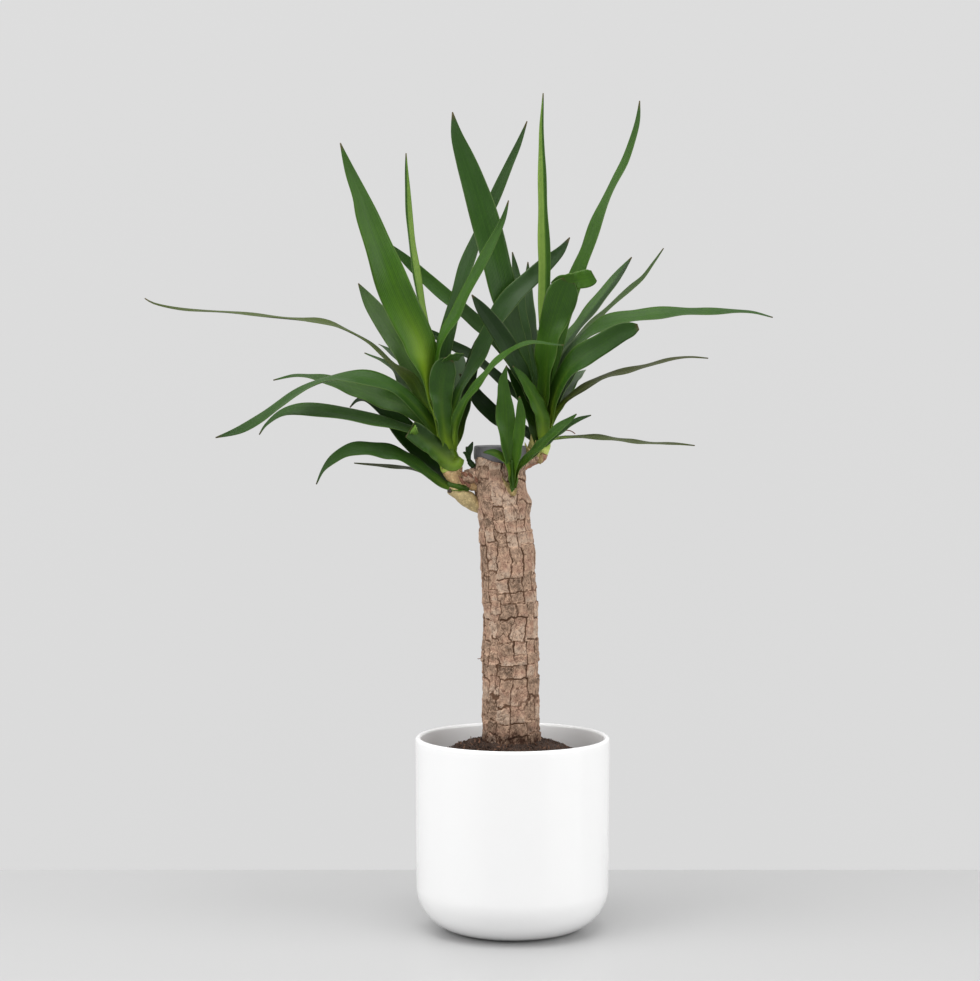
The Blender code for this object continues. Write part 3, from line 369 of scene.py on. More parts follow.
class CaneSettings(bpy.types.PropertyGroup):
    columns: bpy.props.IntProperty(name="Columns", description="Columns of bark plates", default=13, min=3)
    crack: length_property("Crack", "Depth of the cracks between plates", 0.0009)
    lift: length_property("Lift", "How unevenly the plates stand out", 0.0019)
    tan: colour_property("Tan", "Colour of the bark's plates", (0.315, 0.212, 0.147))
    grey: colour_property("Grey", "Colour of its weathered plates", (0.50, 0.38, 0.29))
    brown: colour_property("Brown", "Colour of its cracks", (0.085, 0.040, 0.020))
    wax: colour_property("Wax", "Colour of the seal on the cut", (0.070, 0.068, 0.074))
    wax_wall: length_property("Wax wall", "Thickness of the seal", 0.0012)


class StemSettings(bpy.types.PropertyGroup):
    tan: colour_property("Tan", "Colour of the young wood", (0.62, 0.40, 0.19))
    pink: colour_property("Pink", "Colour of the right stub", (0.36, 0.17, 0.095))
    paper: colour_property("Paper", "Colour of the dry papery scales", (0.20, 0.080, 0.042))
    sheath: colour_property("Sheath", "Colour of the olive sheath scales", (0.30, 0.27, 0.07))


class BladeSettings(bpy.types.PropertyGroup):
    thickness: length_property("Thickness", "Thickness of a blade at its middle", 0.0009)
    dark: colour_property("Dark", "Colour of a shaded blade", (0.005, 0.018, 0.002))
    middle: colour_property("Middle", "Colour of an ordinary blade", (0.020, 0.062, 0.006))
    bright: colour_property("Bright", "Colour of a well lit blade", (0.047, 0.128, 0.004))
    pale: colour_property("Pale", "Colour of the palest blade", (0.22, 0.34, 0.06))
    young: colour_property("Young", "Colour of a blade's young base", (0.32, 0.50, 0.030))
    dry: colour_property("Dry", "Colour of the dry tips", (0.075, 0.045, 0.015))


class StageSettings(bpy.types.PropertyGroup):
    lens: bpy.props.FloatProperty(name="Lens", description="Focal length of the camera", default=86.88,
                                  unit="CAMERA")
    tilt: bpy.props.FloatProperty(name="Tilt", description="How far the camera looks down",
                                  default=math.radians(2.988), subtype="ANGLE")
    wall_distance: length_property("Wall", "Distance of the wall behind the pot's axis", 0.230)
    floor: colour_property("Floor", "Colour of the floor", (0.47, 0.47, 0.47))
    wall: colour_property("Wall", "Colour of the wall", (0.70, 0.70, 0.70))
    key: bpy.props.FloatProperty(name="Key", description="Power of the key light in watts", default=31.0)
    fill: bpy.props.FloatProperty(name="Fill", description="Power of the fill light in watts", default=29.0)
    sky: bpy.props.FloatProperty(name="Sky", description="Strength of the even light", default=0.40)


# Shader nodes

def new_material(name):
    """A new material, with its node tree and its Principled shader."""
    made = bpy.data.materials.new(name)
    made.use_nodes = True
    return made, made.node_tree, made.node_tree.nodes["Principled BSDF"]


def feed(tree, socket, value):
    """Links a socket to another one, or sets its value."""
    if isinstance(value, bpy.types.NodeSocket):
        tree.links.new(value, socket)
    else:
        socket.default_value = value


def put(tree, kind, values=None, **inputs):
    """Adds a node; values set its own options, and inputs its sockets, named or as i and a number."""
    made = tree.nodes.new(kind if kind.startswith(("Geometry", "Function")) else "ShaderNode" + kind)
    for key, value in (values or {}).items():
        setattr(made, key, value)
    for key, value in inputs.items():
        socket = made.inputs[int(key[1:])] if key[0] == "i" and key[1:].isdigit() else made.inputs[key]
        feed(tree, socket, value)
    return made


def mix_colour(tree, factor, first, second):
    """A colour mix; factor and colours are sockets or values."""
    made = put(tree, "Mix", {"data_type": "RGBA", "blend_type": "MIX", "clamp_factor": True}, i0=factor)
    for index, value in ((6, first), (7, second)):
        linked = isinstance(value, bpy.types.NodeSocket)
        feed(tree, made.inputs[index], value if linked else (*value[:3], 1.0))
    return made.outputs[2]


def tinted(colour, factor):
    """A colour times a factor, no brighter than white."""
    return [min(c * factor, 1.0) for c in colour]


def new_group(name, kind, inputs, outputs):
    """A node group with its named sockets, and the sockets of its two end nodes."""
    group = bpy.data.node_groups.new(name, kind)
    for label, socket, value in inputs:
        made = group.interface.new_socket(label, in_out="INPUT", socket_type="NodeSocket" + socket)
        if value is not None:
            made.default_value = value
    for label, socket in outputs:
        group.interface.new_socket(label, in_out="OUTPUT", socket_type="NodeSocket" + socket)
    return group, group.nodes.new("NodeGroupInput").outputs, group.nodes.new("NodeGroupOutput").inputs


def maths(tree, operation, first, second=0.0, clamp=False):
    return put(tree, "Math", {"operation": operation, "use_clamp": clamp}, i0=first, i1=second).outputs[0]


def ramp(tree, factor, stops):
    """A colour ramp; stops are places and grey values or colours."""
    made = put(tree, "ValToRGB", i0=factor)
    points = made.color_ramp.elements
    while len(points) > 1:
        points.remove(points[-1])
    for k, (place, value) in enumerate(stops):
        point = points[0] if k == 0 else points.new(place)
        point.position = place
        point.color = (*value, 1.0) if isinstance(value, (tuple, list)) else (value, value, value, 1.0)
    return made.outputs[0]


def grain_group():
    """Shared group: a two-scale speckle on Object coordinates, as a mask and as a height."""
    found = bpy.data.node_groups.get("grain")
    if found:
        return found
    inputs = (("Coarse", "Float", 120.0), ("Fine", "Float", 900.0), ("Stretch", "Float", 1.0),
              ("Contrast", "Float", 0.5))
    outputs = (("Mask", "Float"), ("Height", "Float"))
    group, given, result = new_group("grain", "ShaderNodeTree", inputs, outputs)
    place = put(group, "TexCoord").outputs["Object"]
    spread = put(group, "CombineXYZ", i0=1.0, i1=1.0, i2=given["Stretch"]).outputs[0]
    place = put(group, "VectorMath", {"operation": "MULTIPLY"}, i0=place, i1=spread).outputs[0]
    coarse = put(group, "TexNoise", Vector=place, Scale=given["Coarse"], Detail=4.0).outputs[0]
    fine = put(group, "TexNoise", Vector=place, Scale=given["Fine"], Detail=3.0).outputs[0]
    total = maths(group, "ADD", maths(group, "MULTIPLY", coarse, 0.6), maths(group, "MULTIPLY", fine, 0.4))
    centred = maths(group, "SUBTRACT", total, 0.5)
    gain = maths(group, "MULTIPLY", given["Contrast"], 6.0)
    mask = maths(group, "ADD", maths(group, "MULTIPLY", centred, gain), 0.5, clamp=True)
    group.links.new(mask, result["Mask"])
    group.links.new(total, result["Height"])
    return group


def grain(tree, coarse, fine, stretch=1.0, contrast=0.5):
    """Places the shared speckle in a material, and returns its mask and height."""
    made = tree.nodes.new("ShaderNodeGroup")
    made.node_tree = grain_group()
    for name, value in (("Coarse", coarse), ("Fine", fine), ("Stretch", stretch), ("Contrast", contrast)):
        made.inputs[name].default_value = value
    return made.outputs["Mask"], made.outputs["Height"]


def dress(tree, shader, colour, roughness, specular=0.5):
    """Gives a shader its colour, roughness and gloss, by link or by value."""
    feed(tree, shader.inputs["Base Color"], colour)
    feed(tree, shader.inputs["Roughness"], roughness)
    shader.inputs["Specular IOR Level"].default_value = specular


def bump(tree, shader, height, strength, distance):
    made = put(tree, "Bump", Strength=strength, Distance=distance, Height=height)
    tree.links.new(made.outputs[0], shader.inputs["Normal"])


def glaze_material(settings):
    """White glaze: smooth, with a slow unevenness."""
    made, tree, shader = new_material("white_glaze")
    mask, _ = grain(tree, 9.0, 30.0, 1.0, 0.15)
    base = mix_colour(tree, mask, tinted(settings.glaze, 0.992), settings.glaze)
    dress(tree, shader, base, ramp(tree, mask, ((0.0, 0.20), (1.0, 0.23))))
    shader.inputs["Coat Weight"].default_value = 0.25
    shader.inputs["Coat Roughness"].default_value = 0.10
    return made


def soil_material(settings):
    """Moist soil: dark, with small dry fibres."""
    made, tree, shader = new_material("moist_soil")
    mask, height = grain(tree, 240.0, 1400.0, 1.0, 0.7)
    fibres = put(tree, "TexVoronoi", {"feature": "F1"}, Scale=420.0).outputs["Color"]
    spots = ramp(tree, put(tree, "SeparateColor", i0=fibres).outputs[0], ((0.72, 0.0), (0.9, 1.0)))
    base = mix_colour(tree, mask, settings.dark, tinted(settings.dark, 2.6))
    base = mix_colour(tree, maths(tree, "MULTIPLY", spots, 0.7), base, settings.light)
    dress(tree, shader, base, 0.9)
    bump(tree, shader, height, 0.8, 0.0012)
    return made


def bark_material(settings):
    """Bark: plates each with a tone of their own and painted shade towards their upper edges, painted
    highlights on the wrinkles' ridges and painted shade in their hollows, dark cracks with painted highlight
    rims, soil stains low down.
    """
    made, tree, shader = new_material("plated_bark")
    marks = put(tree, "Attribute", {"attribute_name": "bark"})
    crack, tone, stain = put(tree, "SeparateColor", i0=marks.outputs["Color"]).outputs
    wrinkle = marks.outputs["Alpha"]
    mask, height = grain(tree, 190.0, 900.0, 0.8, 0.8)
    streak, fine = grain(tree, 330.0, 1500.0, 0.75, 1.0)
    tan, brown = settings.tan, settings.brown
    pink = [c * m for c, m in zip(tan, (1.15, 0.99, 1.0))]
    pale = tinted(tan, 1.95)
    # tone holds each plate's own colour and the painted shade towards its upper edge
    base = ramp(tree, tone, ((0.0, tinted(tan, 0.42)), (0.45, tan[:]), (0.7, pink), (1.0, settings.grey[:])))
    for factor, stops, colour in (
            # painted highlight on the wrinkles' ridges
            (wrinkle, ((0.54, 0.0), (0.90, 0.60)), pale),
            # painted shade in the hollows between the wrinkles
            (wrinkle, ((0.06, 0.75), (0.36, 0.0)), brown),
            (mask, ((0.0, 0.0), (1.0, 0.30)), tinted(tan, 0.5)),
            (streak, ((0.6, 0.0), (1.0, 0.4)), brown),
            (streak, ((0.0, 0.4), (0.35, 0.0)), pale),
            # painted highlight: a pale rim beside each crack
            (crack, ((0.01, 0.0), (0.08, 0.5), (0.24, 0.0)), pale),
            (crack, ((0.18, 0.0), (0.6, 0.95)), brown)):
        base = mix_colour(tree, ramp(tree, factor, stops), base, colour)
    soiled = maths(tree, "MULTIPLY", stain, maths(tree, "ADD", mask, 0.35), clamp=True)
    dress(tree, shader, mix_colour(tree, soiled, base, (0.045, 0.018, 0.009)), 0.85, 0.25)
    bump(tree, shader, maths(tree, "ADD", height, maths(tree, "MULTIPLY", fine, 0.6)), 1.0, 0.0016)
    return made


def wax_material(settings):
    """Charcoal wax: blotched, glossier where it is darker."""
    made, tree, shader = new_material("charcoal_wax")
    mask, height = grain(tree, 150.0, 700.0, 1.0, 0.5)
    base = mix_colour(tree, mask, settings.wax, tinted(settings.wax, 1.7))
    dress(tree, shader, base, ramp(tree, mask, ((0.0, 0.34), (1.0, 0.62))))
    bump(tree, shader, height, 0.9, 0.0014)
    return made


def wood_material(name, colour, streaks):
    """Young wood or papery scale: small blotches, dark in some places and pale in others."""
    made, tree, shader = new_material(name)
    mask, height = grain(tree, 230.0, 900.0, 0.6, 0.9)
    spots, _ = grain(tree, 420.0, 1300.0, 1.0, 1.0)
    pale = [min(c * 1.5 + 0.03, 0.8) for c in colour]
    base = mix_colour(tree, maths(tree, "MULTIPLY", mask, streaks), colour, tinted(colour, 0.38))
    base = mix_colour(tree, ramp(tree, spots, ((0.62, 0.0), (1.0, streaks))), base, pale)
    dress(tree, shader, base, 0.62)
    bump(tree, shader, height, 0.7, 0.0010)
    return made


def vein_group():
    """Shared group: fine veins along a blade, read from its own UV map, and its pale margin."""
    found = bpy.data.node_groups.get("long_veins")
    if found:
        return found
    group, given, result = new_group("long_veins", "ShaderNodeTree", (("Count", "Float", 22.0),),
                                     (("Veins", "Float"), ("Margin", "Float")))
    place = put(group, "UVMap", {"uv_map": "blade"}).outputs[0]
    parts = put(group, "SeparateXYZ", i0=place).outputs
    stretched = put(group, "CombineXYZ", i0=parts[0], i1=maths(group, "MULTIPLY", parts[1], 0.02)).outputs[0]
    wander = put(group, "TexNoise", Vector=stretched, Scale=given["Count"], Detail=2.0).outputs[0]
    lines = maths(group, "MULTIPLY", parts[0], maths(group, "MULTIPLY", given["Count"], 6.2832))
    lines = maths(group, "SINE", maths(group, "ADD", lines, maths(group, "MULTIPLY", wander, 4.0)))
    veins = maths(group, "ADD", maths(group, "MULTIPLY", lines, 0.3), wander)
    side = maths(group, "ABSOLUTE", maths(group, "SUBTRACT", parts[0], 0.5))
    margin = maths(group, "MULTIPLY", maths(group, "SUBTRACT", side, 0.468), 60.0, clamp=True)
    group.links.new(veins, result["Veins"])
    group.links.new(margin, result["Margin"])
    return group


def blade_material(settings):
    """Leaf: tone by blade, which holds painted shade and light, young base, veins, pale margin, dry tip and
    greyer underside.
    """
    made, tree, shader = new_material("yucca_blade")
    lines = tree.nodes.new("ShaderNodeGroup")
    lines.node_tree = vein_group()
    lines.inputs["Count"].default_value = 20.0
    veins, margin = lines.outputs["Veins"], lines.outputs["Margin"]
    look = put(tree, "Attribute", {"attribute_name": "look"})
    tone, young, dry = put(tree, "SeparateColor", i0=look.outputs["Color"]).outputs
    mask, height = grain(tree, 55.0, 420.0, 0.6, 0.4)
    for uneven, share, clamp in ((mask, 0.12, False), (veins, 0.24, True)):
        centred = maths(tree, "SUBTRACT", uneven, 0.5)
        tone = maths(tree, "ADD", tone, maths(tree, "MULTIPLY", centred, share), clamp)
    base = ramp(tree, tone, ((0.0, settings.dark[:]), (0.42, settings.middle[:]), (0.72, settings.bright[:]),
                             (1.0, settings.pale[:])))
    base = mix_colour(tree, maths(tree, "MULTIPLY", look.outputs["Alpha"], 0.10), base, (0.070, 0.120, 0.040))
    fresh = mix_colour(tree, ramp(tree, young, ((0.6, 0.0), (1.0, 1.0))), settings.young, (0.50, 0.58, 0.15))
    base = mix_colour(tree, young, base, fresh)
    base = mix_colour(tree, maths(tree, "MULTIPLY", margin, 0.28), base, (0.19, 0.27, 0.07))
    base = mix_colour(tree, dry, base, settings.dry)
    dress(tree, shader, base, ramp(tree, veins, ((0.2, 0.34), (0.8, 0.46))), 0.22)
    bump(tree, shader, maths(tree, "ADD", maths(tree, "MULTIPLY", veins, 0.8), height), 0.35, 0.0005)
    return made


def plain_material(name, colour, roughness):
    """A stage surface: even, with the faintest mottling."""
    made, tree, shader = new_material(name)
    mask, _ = grain(tree, 1.5, 6.0, 1.0, 0.1)
    dress(tree, shader, mix_colour(tree, mask, tinted(colour, 0.99), colour), roughness, 0.2)
    return made


# Mesh helpers

def noise_at(x, y, z):
    """Smooth noise at a place, between about -1 and 1."""
    return noise.noise(Vector((x, y, z)))


def new_object(name, data):
    """An object of a mesh, a curve, a light or a camera, placed in the scene."""
    obj = bpy.data.objects.new(name, data)
    bpy.context.scene.collection.objects.link(obj)
    return obj


def baked_mesh(host):
    """The plain mesh that a curve or a modifier gives; the object that carried it is removed."""
    mesh = bpy.data.meshes.new_from_object(host.evaluated_get(bpy.context.evaluated_depsgraph_get()))
    host.modifiers.clear()
    bpy.data.objects.remove(host)
    return mesh


def add_piece(name, mesh, finish):
    """A smooth object of a mesh, in one finish."""
    obj = new_object(name, mesh)
    mesh.materials.clear()
    mesh.materials.append(finish)
    mesh.shade_smooth()
    return obj


def out_facing(mesh, merge=0.0):
    """Turns every closed shell of a mesh to face out, after merging points closer than a distance."""
    bm = bmesh.new()
    bm.from_mesh(mesh)
    if merge:
        bmesh.ops.remove_doubles(bm, verts=bm.verts, dist=merge)
    bmesh.ops.recalc_face_normals(bm, faces=bm.faces)
    bm.to_mesh(mesh)
    bm.free()


def grid_faces(rows, columns, around, start=0):
    """Quads of a grid of points, joined round its columns when around is true."""
    faces = []
    last = columns if around else columns - 1
    for i in range(rows - 1):
        for j in range(last):
            k = (j + 1) % columns
            faces.append((start + i * columns + j, start + i * columns + k,
                          start + (i + 1) * columns + k, start + (i + 1) * columns + j))
    return faces


def loft_faces(rows, around, start=0):
    """Quads between rings, and a fan from each end ring to the two end points that follow the rings."""
    faces = grid_faces(rows, around, True, start)
    base = start + (rows - 1) * around
    tip = start + rows * around
    for j in range(around):
        k = (j + 1) % around
        faces.append((start + j, start + k, tip))
        faces.append((base + j, base + k, tip + 1))
    return faces


def sheet_faces(rows, columns, start=0):
    """Quads of two like grids, the second after the first, joined round their rim."""
    own = rows * columns
    faces = grid_faces(rows, columns, False, start) + grid_faces(rows, columns, False, start + own)
    rim = [i * columns for i in range(rows)] + [(rows - 1) * columns + j for j in range(1, columns)]
    rim += [i * columns + columns - 1 for i in range(rows - 2, -1, -1)] + list(range(columns - 2, 0, -1))
    for a, b in zip(rim, rim[1:] + rim[:1]):
        faces.append((start + a, start + b, start + b + own, start + a + own))
    return faces


def mesh_from(name, points, faces):
    mesh = bpy.data.meshes.new(name)
    mesh.from_pydata([tuple(p) for p in points], [], faces)
    out_facing(mesh)
    return mesh


def closed_loft(name, rings):
    """A round solid through rings of points in metres, closed at both ends."""
    rings = np.asarray(rings, float)
    rows, around, _ = rings.shape
    points = np.vstack([rings.reshape(-1, 3), rings[0].mean(axis=0), rings[-1].mean(axis=0)])
    return mesh_from(name, points, loft_faces(rows, around))


def angles_round(count):
    return np.linspace(0, 2 * math.pi, count, endpoint=False)


def level_ring(radius, height, angles, x=0.0):
    """A level circle of points about an upright axis at x."""
    return [(x + radius * math.cos(a), radius * math.sin(a), height) for a in angles]


def arc(centre_r, centre_z, radius, first, last, count):
    """Points of a profile's arc, its angles in degrees from the outward direction."""
    angles = [math.radians(first + (last - first) * k / count) for k in range(count + 1)]
    return [(centre_r + radius * math.cos(a), centre_z + radius * math.sin(a)) for a in angles]


def straight(first, last, count):
    """Points between two points of a profile, without the first."""
    return [(first[0] + (last[0] - first[0]) * k / count, first[1] + (last[1] - first[1]) * k / count)
            for k in range(1, count + 1)]


def set_colours(mesh, name, values):
    layer = mesh.attributes.new(name, "FLOAT_COLOR", "POINT")
    layer.data.foreach_set("color", np.asarray(values, np.float32).ravel())


def along_line(line, height):
    """Centre x and radius of the cane at each height, in millimetres."""
    return np.interp(height, line[:, 0], line[:, 1]), np.interp(height, line[:, 0], line[:, 2])


def finish_piece(obj, slot, *nodes):
    """Rides a piece on the body, and lets it stand for its plain solids."""
    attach(obj, BODY)
    if nodes:
        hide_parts(*nodes)


# Pot and soil

def pot_profile(settings):
    """The pot's outline from the middle of its floor inside, over the lip, to the middle of its base."""
    wall_foot = settings.radius - settings.taper
    inner_radius = settings.corner - settings.wall
    centre = wall_foot - settings.corner
    inner = straight((0.0004, settings.floor), (centre, settings.floor), 6)
    inner += arc(centre, settings.floor + inner_radius, inner_radius, -90, 0, 16)
    lip_radius = settings.wall / 2
    lip = arc(settings.radius - lip_radius, settings.height - lip_radius, lip_radius, 180, 0, 14)
    inner += straight(inner[-1], lip[0], 24)
    outer = arc(wall_foot - settings.corner, settings.corner, settings.corner, 0, -90, 24)
    foot = straight(outer[-1], (0.0004, 0.0), 6)
    return inner + lip[1:] + straight(lip[-1], outer[0], 24) + outer[1:] + foot


def build_pot(settings):
    rings = [level_ring(radius, height, angles_round(160)) for radius, height in pot_profile(settings)]
    pot = add_piece("glazed_pot", closed_loft("glazed_pot", rings), glaze_material(settings))
    finish_piece(pot, "glaze", "pot")


def soil_height(x, y):
    """The soil's smooth surface at a place, in metres."""
    reach = math.hypot(x - CANE_FOOT_X, y) / MM
    return float(np.interp(reach, SOIL_SURFACE[:, 0], SOIL_SURFACE[:, 1])) * MM


def build_soil(settings):
    """The heaped soil: a lumpy surface round the cane, its hidden side and foot, and loose crumbs."""
    steps = 46
    angles = angles_round(180)
    rings = [level_ring(SOIL_HOLE, height, angles, CANE_FOOT_X) for height in (0.0965, 0.150)]
    for k in range(steps + 1):
        share = k / steps
        radius = SOIL_HOLE + (settings.radius - SOIL_HOLE) * share
        calm = min(1.0, 12 * (1 - share))
        ring = []
        for a in angles:
            x = CANE_FOOT_X * (1 - share) + radius * math.cos(a)
            y = radius * math.sin(a)
            lump = noise.noise(Vector((x, y, 0.3)) * 160) * 0.6 + noise.noise(Vector((x, y, 0.9)) * 420) * 0.4
            swell = noise.noise(Vector((x, y, 2.0)) * 45)
            ring.append((x, y, soil_height(x, y) + settings.roughness * (lump + swell * 0.8) * calm))
        rings.append(ring)
    hidden = [(settings.radius, 0.120)] + arc(0.0448, 0.0383, 0.0318, 0, -90, 8)
    rings += [level_ring(radius, height, angles) for radius, height in hidden]
    finish = soil_material(settings)
    finish_piece(add_piece("soil_heap", closed_loft("soil_heap", rings), finish), "soil", "soil")
    for strewn in scatter_crumbs(settings, finish):
        finish_piece(strewn, "soil")


def crumb_bed(settings):
    """The surface that crumbs are strewn on: the heap's top, free of the wall."""
    inner, rows, around = 0.0262, 24, 72
    points = []
    for share in np.linspace(0.0, 0.97, rows):
        radius = inner + (settings.radius - inner) * share
        for x, y, _ in level_ring(radius, 0.0, angles_round(around)):
            points.append((CANE_FOOT_X * (1 - share) + x, y, soil_height(x, y)))
    mesh = bpy.data.meshes.new("crumb_bed")
    mesh.from_pydata(points, [], grid_faces(rows, around, True))
    return mesh


def crumb_tree(settings, finish):
    """Geometry nodes: strews lumpy crumbs of seeded sizes over a bed, realized and finished."""
    inputs = (("Geometry", "Geometry", None), ("Crumb size", "Float", settings.crumb),
              ("Density", "Float", 1.0), ("Stretch", "Float", 1.0), ("Seed", "Int", 5))
    tree, given, result = new_group("strewn_crumbs", "GeometryNodeTree", inputs, (("Geometry", "Geometry"),))
    places = put(tree, "GeometryNodeDistributePointsOnFaces", Mesh=given["Geometry"],
                 Density=given["Density"], Seed=given["Seed"]).outputs["Points"]
    ball = put(tree, "GeometryNodeMeshIcoSphere", Radius=0.5, Subdivisions=2).outputs["Mesh"]
    spot = put(tree, "GeometryNodeInputPosition").outputs[0]
    rough = maths(tree, "SUBTRACT", put(tree, "TexNoise", Scale=3.2).outputs[0], 0.5)
    lift = put(tree, "VectorMath", {"operation": "SCALE"}, i0=spot, Scale=rough).outputs[0]
    crumb = put(tree, "GeometryNodeSetPosition", Geometry=ball, Offset=lift).outputs["Geometry"]
    draws = []
    for shift, low, high in ((1, (0.0, 0.0, 0.0), (6.28, 6.28, 6.28)),
                             (2, (0.25, 0.25, 0.2), (1.5, 1.1, 0.8))):
        seed = maths(tree, "ADD", given["Seed"], shift)
        draws.append(put(tree, "FunctionNodeRandomValue", {"data_type": "FLOAT_VECTOR"}, i0=low, i1=high,
                         Seed=seed).outputs[0])
    spin, size = draws
    longer = put(tree, "CombineXYZ", i0=given["Stretch"], i1=1.0, i2=1.0).outputs[0]
    shaped = put(tree, "VectorMath", {"operation": "MULTIPLY"}, i0=size, i1=longer).outputs[0]
    scaled = put(tree, "VectorMath", {"operation": "SCALE"}, i0=shaped, Scale=given["Crumb size"]).outputs[0]
    placed = put(tree, "GeometryNodeInstanceOnPoints", Points=places, Instance=crumb, Rotation=spin,
                 Scale=scaled).outputs["Instances"]
    real = put(tree, "GeometryNodeRealizeInstances", Geometry=placed).outputs["Geometry"]
    dressed = put(tree, "GeometryNodeSetMaterial", Geometry=real, Material=finish).outputs["Geometry"]
    tree.links.new(dressed, result["Geometry"])
    return tree


def input_id(tree, name):
    """The identifier of a tree's named input."""
    return next(item.identifier for item in tree.interface.items_tree
                if item.item_type == "SOCKET" and item.in_out == "INPUT" and item.name == name)


def grown_mesh(name, mesh, tree, inputs, finish):
    """Runs a geometry tree on a mesh, and keeps its result as a plain piece."""
    host = new_object(name, mesh)
    modifier = host.modifiers.new("growth", "NODES")
    modifier.node_group = tree
    for key, value in inputs.items():
        modifier[input_id(tree, key)] = value
    result = baked_mesh(host)
    result.name = name
    return add_piece(name, result, finish)


def scatter_crumbs(settings, finish):
    """Crumbs over the whole bed, then a few long dry chips among them."""
    bed_area = math.pi * (settings.radius ** 2 - 0.025 ** 2)
    chip = wood_material("dry_chip", settings.light, 0.6)
    made = []
    for name, size, count, stretch, seed, look in (
            ("soil_crumbs", settings.crumb, settings.crumbs, 1.0, 5, finish),
            ("soil_chips", CHIP_SIZE, CHIP_COUNT, CHIP_STRETCH, 9, chip)):
        inputs = {"Crumb size": size, "Density": count / bed_area, "Stretch": stretch, "Seed": seed}
        made.append(grown_mesh(name, crumb_bed(settings), crumb_tree(settings, look), inputs, look))
    return made


# Cane and wax

def hashed(*values):
    """A steady draw between 0 and 1 for a few whole numbers."""
    return random.Random(":".join(str(int(v)) for v in values)).random()


def cane_bulge(height, angle):
    """The cane's slow lumps and the knuckle on its right side, in millimetres."""
    buried = np.clip((height - 160) / 20, 0, 1)
    lump = np.sin(3 * angle + height * 0.021) * 0.5 + np.sin(5 * angle - height * 0.034 + 1.3) * 0.5
    knuckle = np.exp(-((height - KNUCKLE_HEIGHT) / 6.5) ** 2) * np.maximum(np.cos(angle), 0.0) ** 3
    return buried * 0.55 * lump + KNUCKLE_RISE * knuckle


def held(value, low=0.0, high=1.0):
    """A value kept between two limits."""
    return min(high, max(low, value))


def ridged(x, y, z):
    """Sharp creases where a smooth noise crosses zero."""
    return 1.0 - 2.0 * abs(noise_at(x, y, z))


def bark_at(settings, angle, height, radius):
    """Bark at a place: its rise in millimetres, its crack, its plate's tone with painted shade towards the
    plate's upper edge, and its wrinkles.
    """
    x, y = math.cos(angle) * radius, math.sin(angle) * radius
    slow = noise_at(x / 17, y / 17, height / 30)
    quick = noise_at(x / 5.5, y / 5.5, height / 6 + 3)
    tiny = noise_at(x / 1.7, y / 1.7, height / 1.7)
    columns = settings.columns
    across = angle / (2 * math.pi) * columns + 0.42 * slow + 0.14 * quick + 0.05 * tiny
    strip = math.floor(across) % columns
    swell = 4 * math.sin(height * 0.11) + 3 * math.sin(height * 0.047 + 1)
    up = (height + swell) / PLATE_HEIGHT + 0.42 * (hashed(strip, 3) - 0.5) + 0.20 * slow + 0.12 * quick
    up += 0.035 * tiny
    row = math.floor(up)
    level = up - row
    shifted = across + 0.22 * hashed(row, 17)
    column = math.floor(shifted)
    share = shifted - column
    width = 2 * math.pi * radius / columns
    edge = (column if share < 0.5 else column + 1) % columns
    column %= columns
    to_side = min(share, 1 - share) * width
    to_end = min(level, 1 - level) * PLATE_HEIGHT
    ring = row + (level > 0.5)
    side_strength = held(0.70 + 0.9 * noise_at(edge * 3.7, height / 26, 1.0)
                         + 0.4 * (hashed(edge, row, 23) - 0.5), 0.15)
    end_strength = held(0.30 + 0.45 * hashed(ring, 29) + 0.9 * (hashed(column, ring, 11) - 0.4))
    crack = max(math.exp(-(to_side / 0.55) ** 2) * side_strength,
                math.exp(-(to_end / 0.60) ** 2) * end_strength)
    split = max(ridged(x / 6, y / 6, height / 13 + 7), ridged(x / 9 + 5, y / 9, height / 5))
    crack = max(crack, max(split - 0.90, 0.0) * 6.0)
    wrinkle = (0.55 * ridged(x / 3.6, y / 3.6, height / 5.5 + 11)
               + 0.45 * ridged(x / 1.9, y / 1.9, height / 2.8))
    # The last term is painted shade: each plate is darker towards its upper edge, where the plate above would
    # shade it.
    tone = 0.95 * hashed(column, row, 5) + 0.20 * (0.5 + slow) + 0.35 * quick + 0.50 * (0.5 - level)
    stand = (hashed(column, row, 9) - 0.45) * settings.lift / MM
    tilt = (level - 0.5) * (hashed(column, row, 13) - 0.35) * 3.0
    near = min(1.0, min(to_side / 1.2, to_end / 1.0))
    rise = ((stand + tilt) * near - settings.crack / MM * crack
            + 0.6 * quick + 0.4 * (wrinkle - 0.4) + 0.2 * tiny)
    return rise, crack, held(tone), held(0.5 + 0.6 * (wrinkle - 0.42) + 0.25 * tiny)


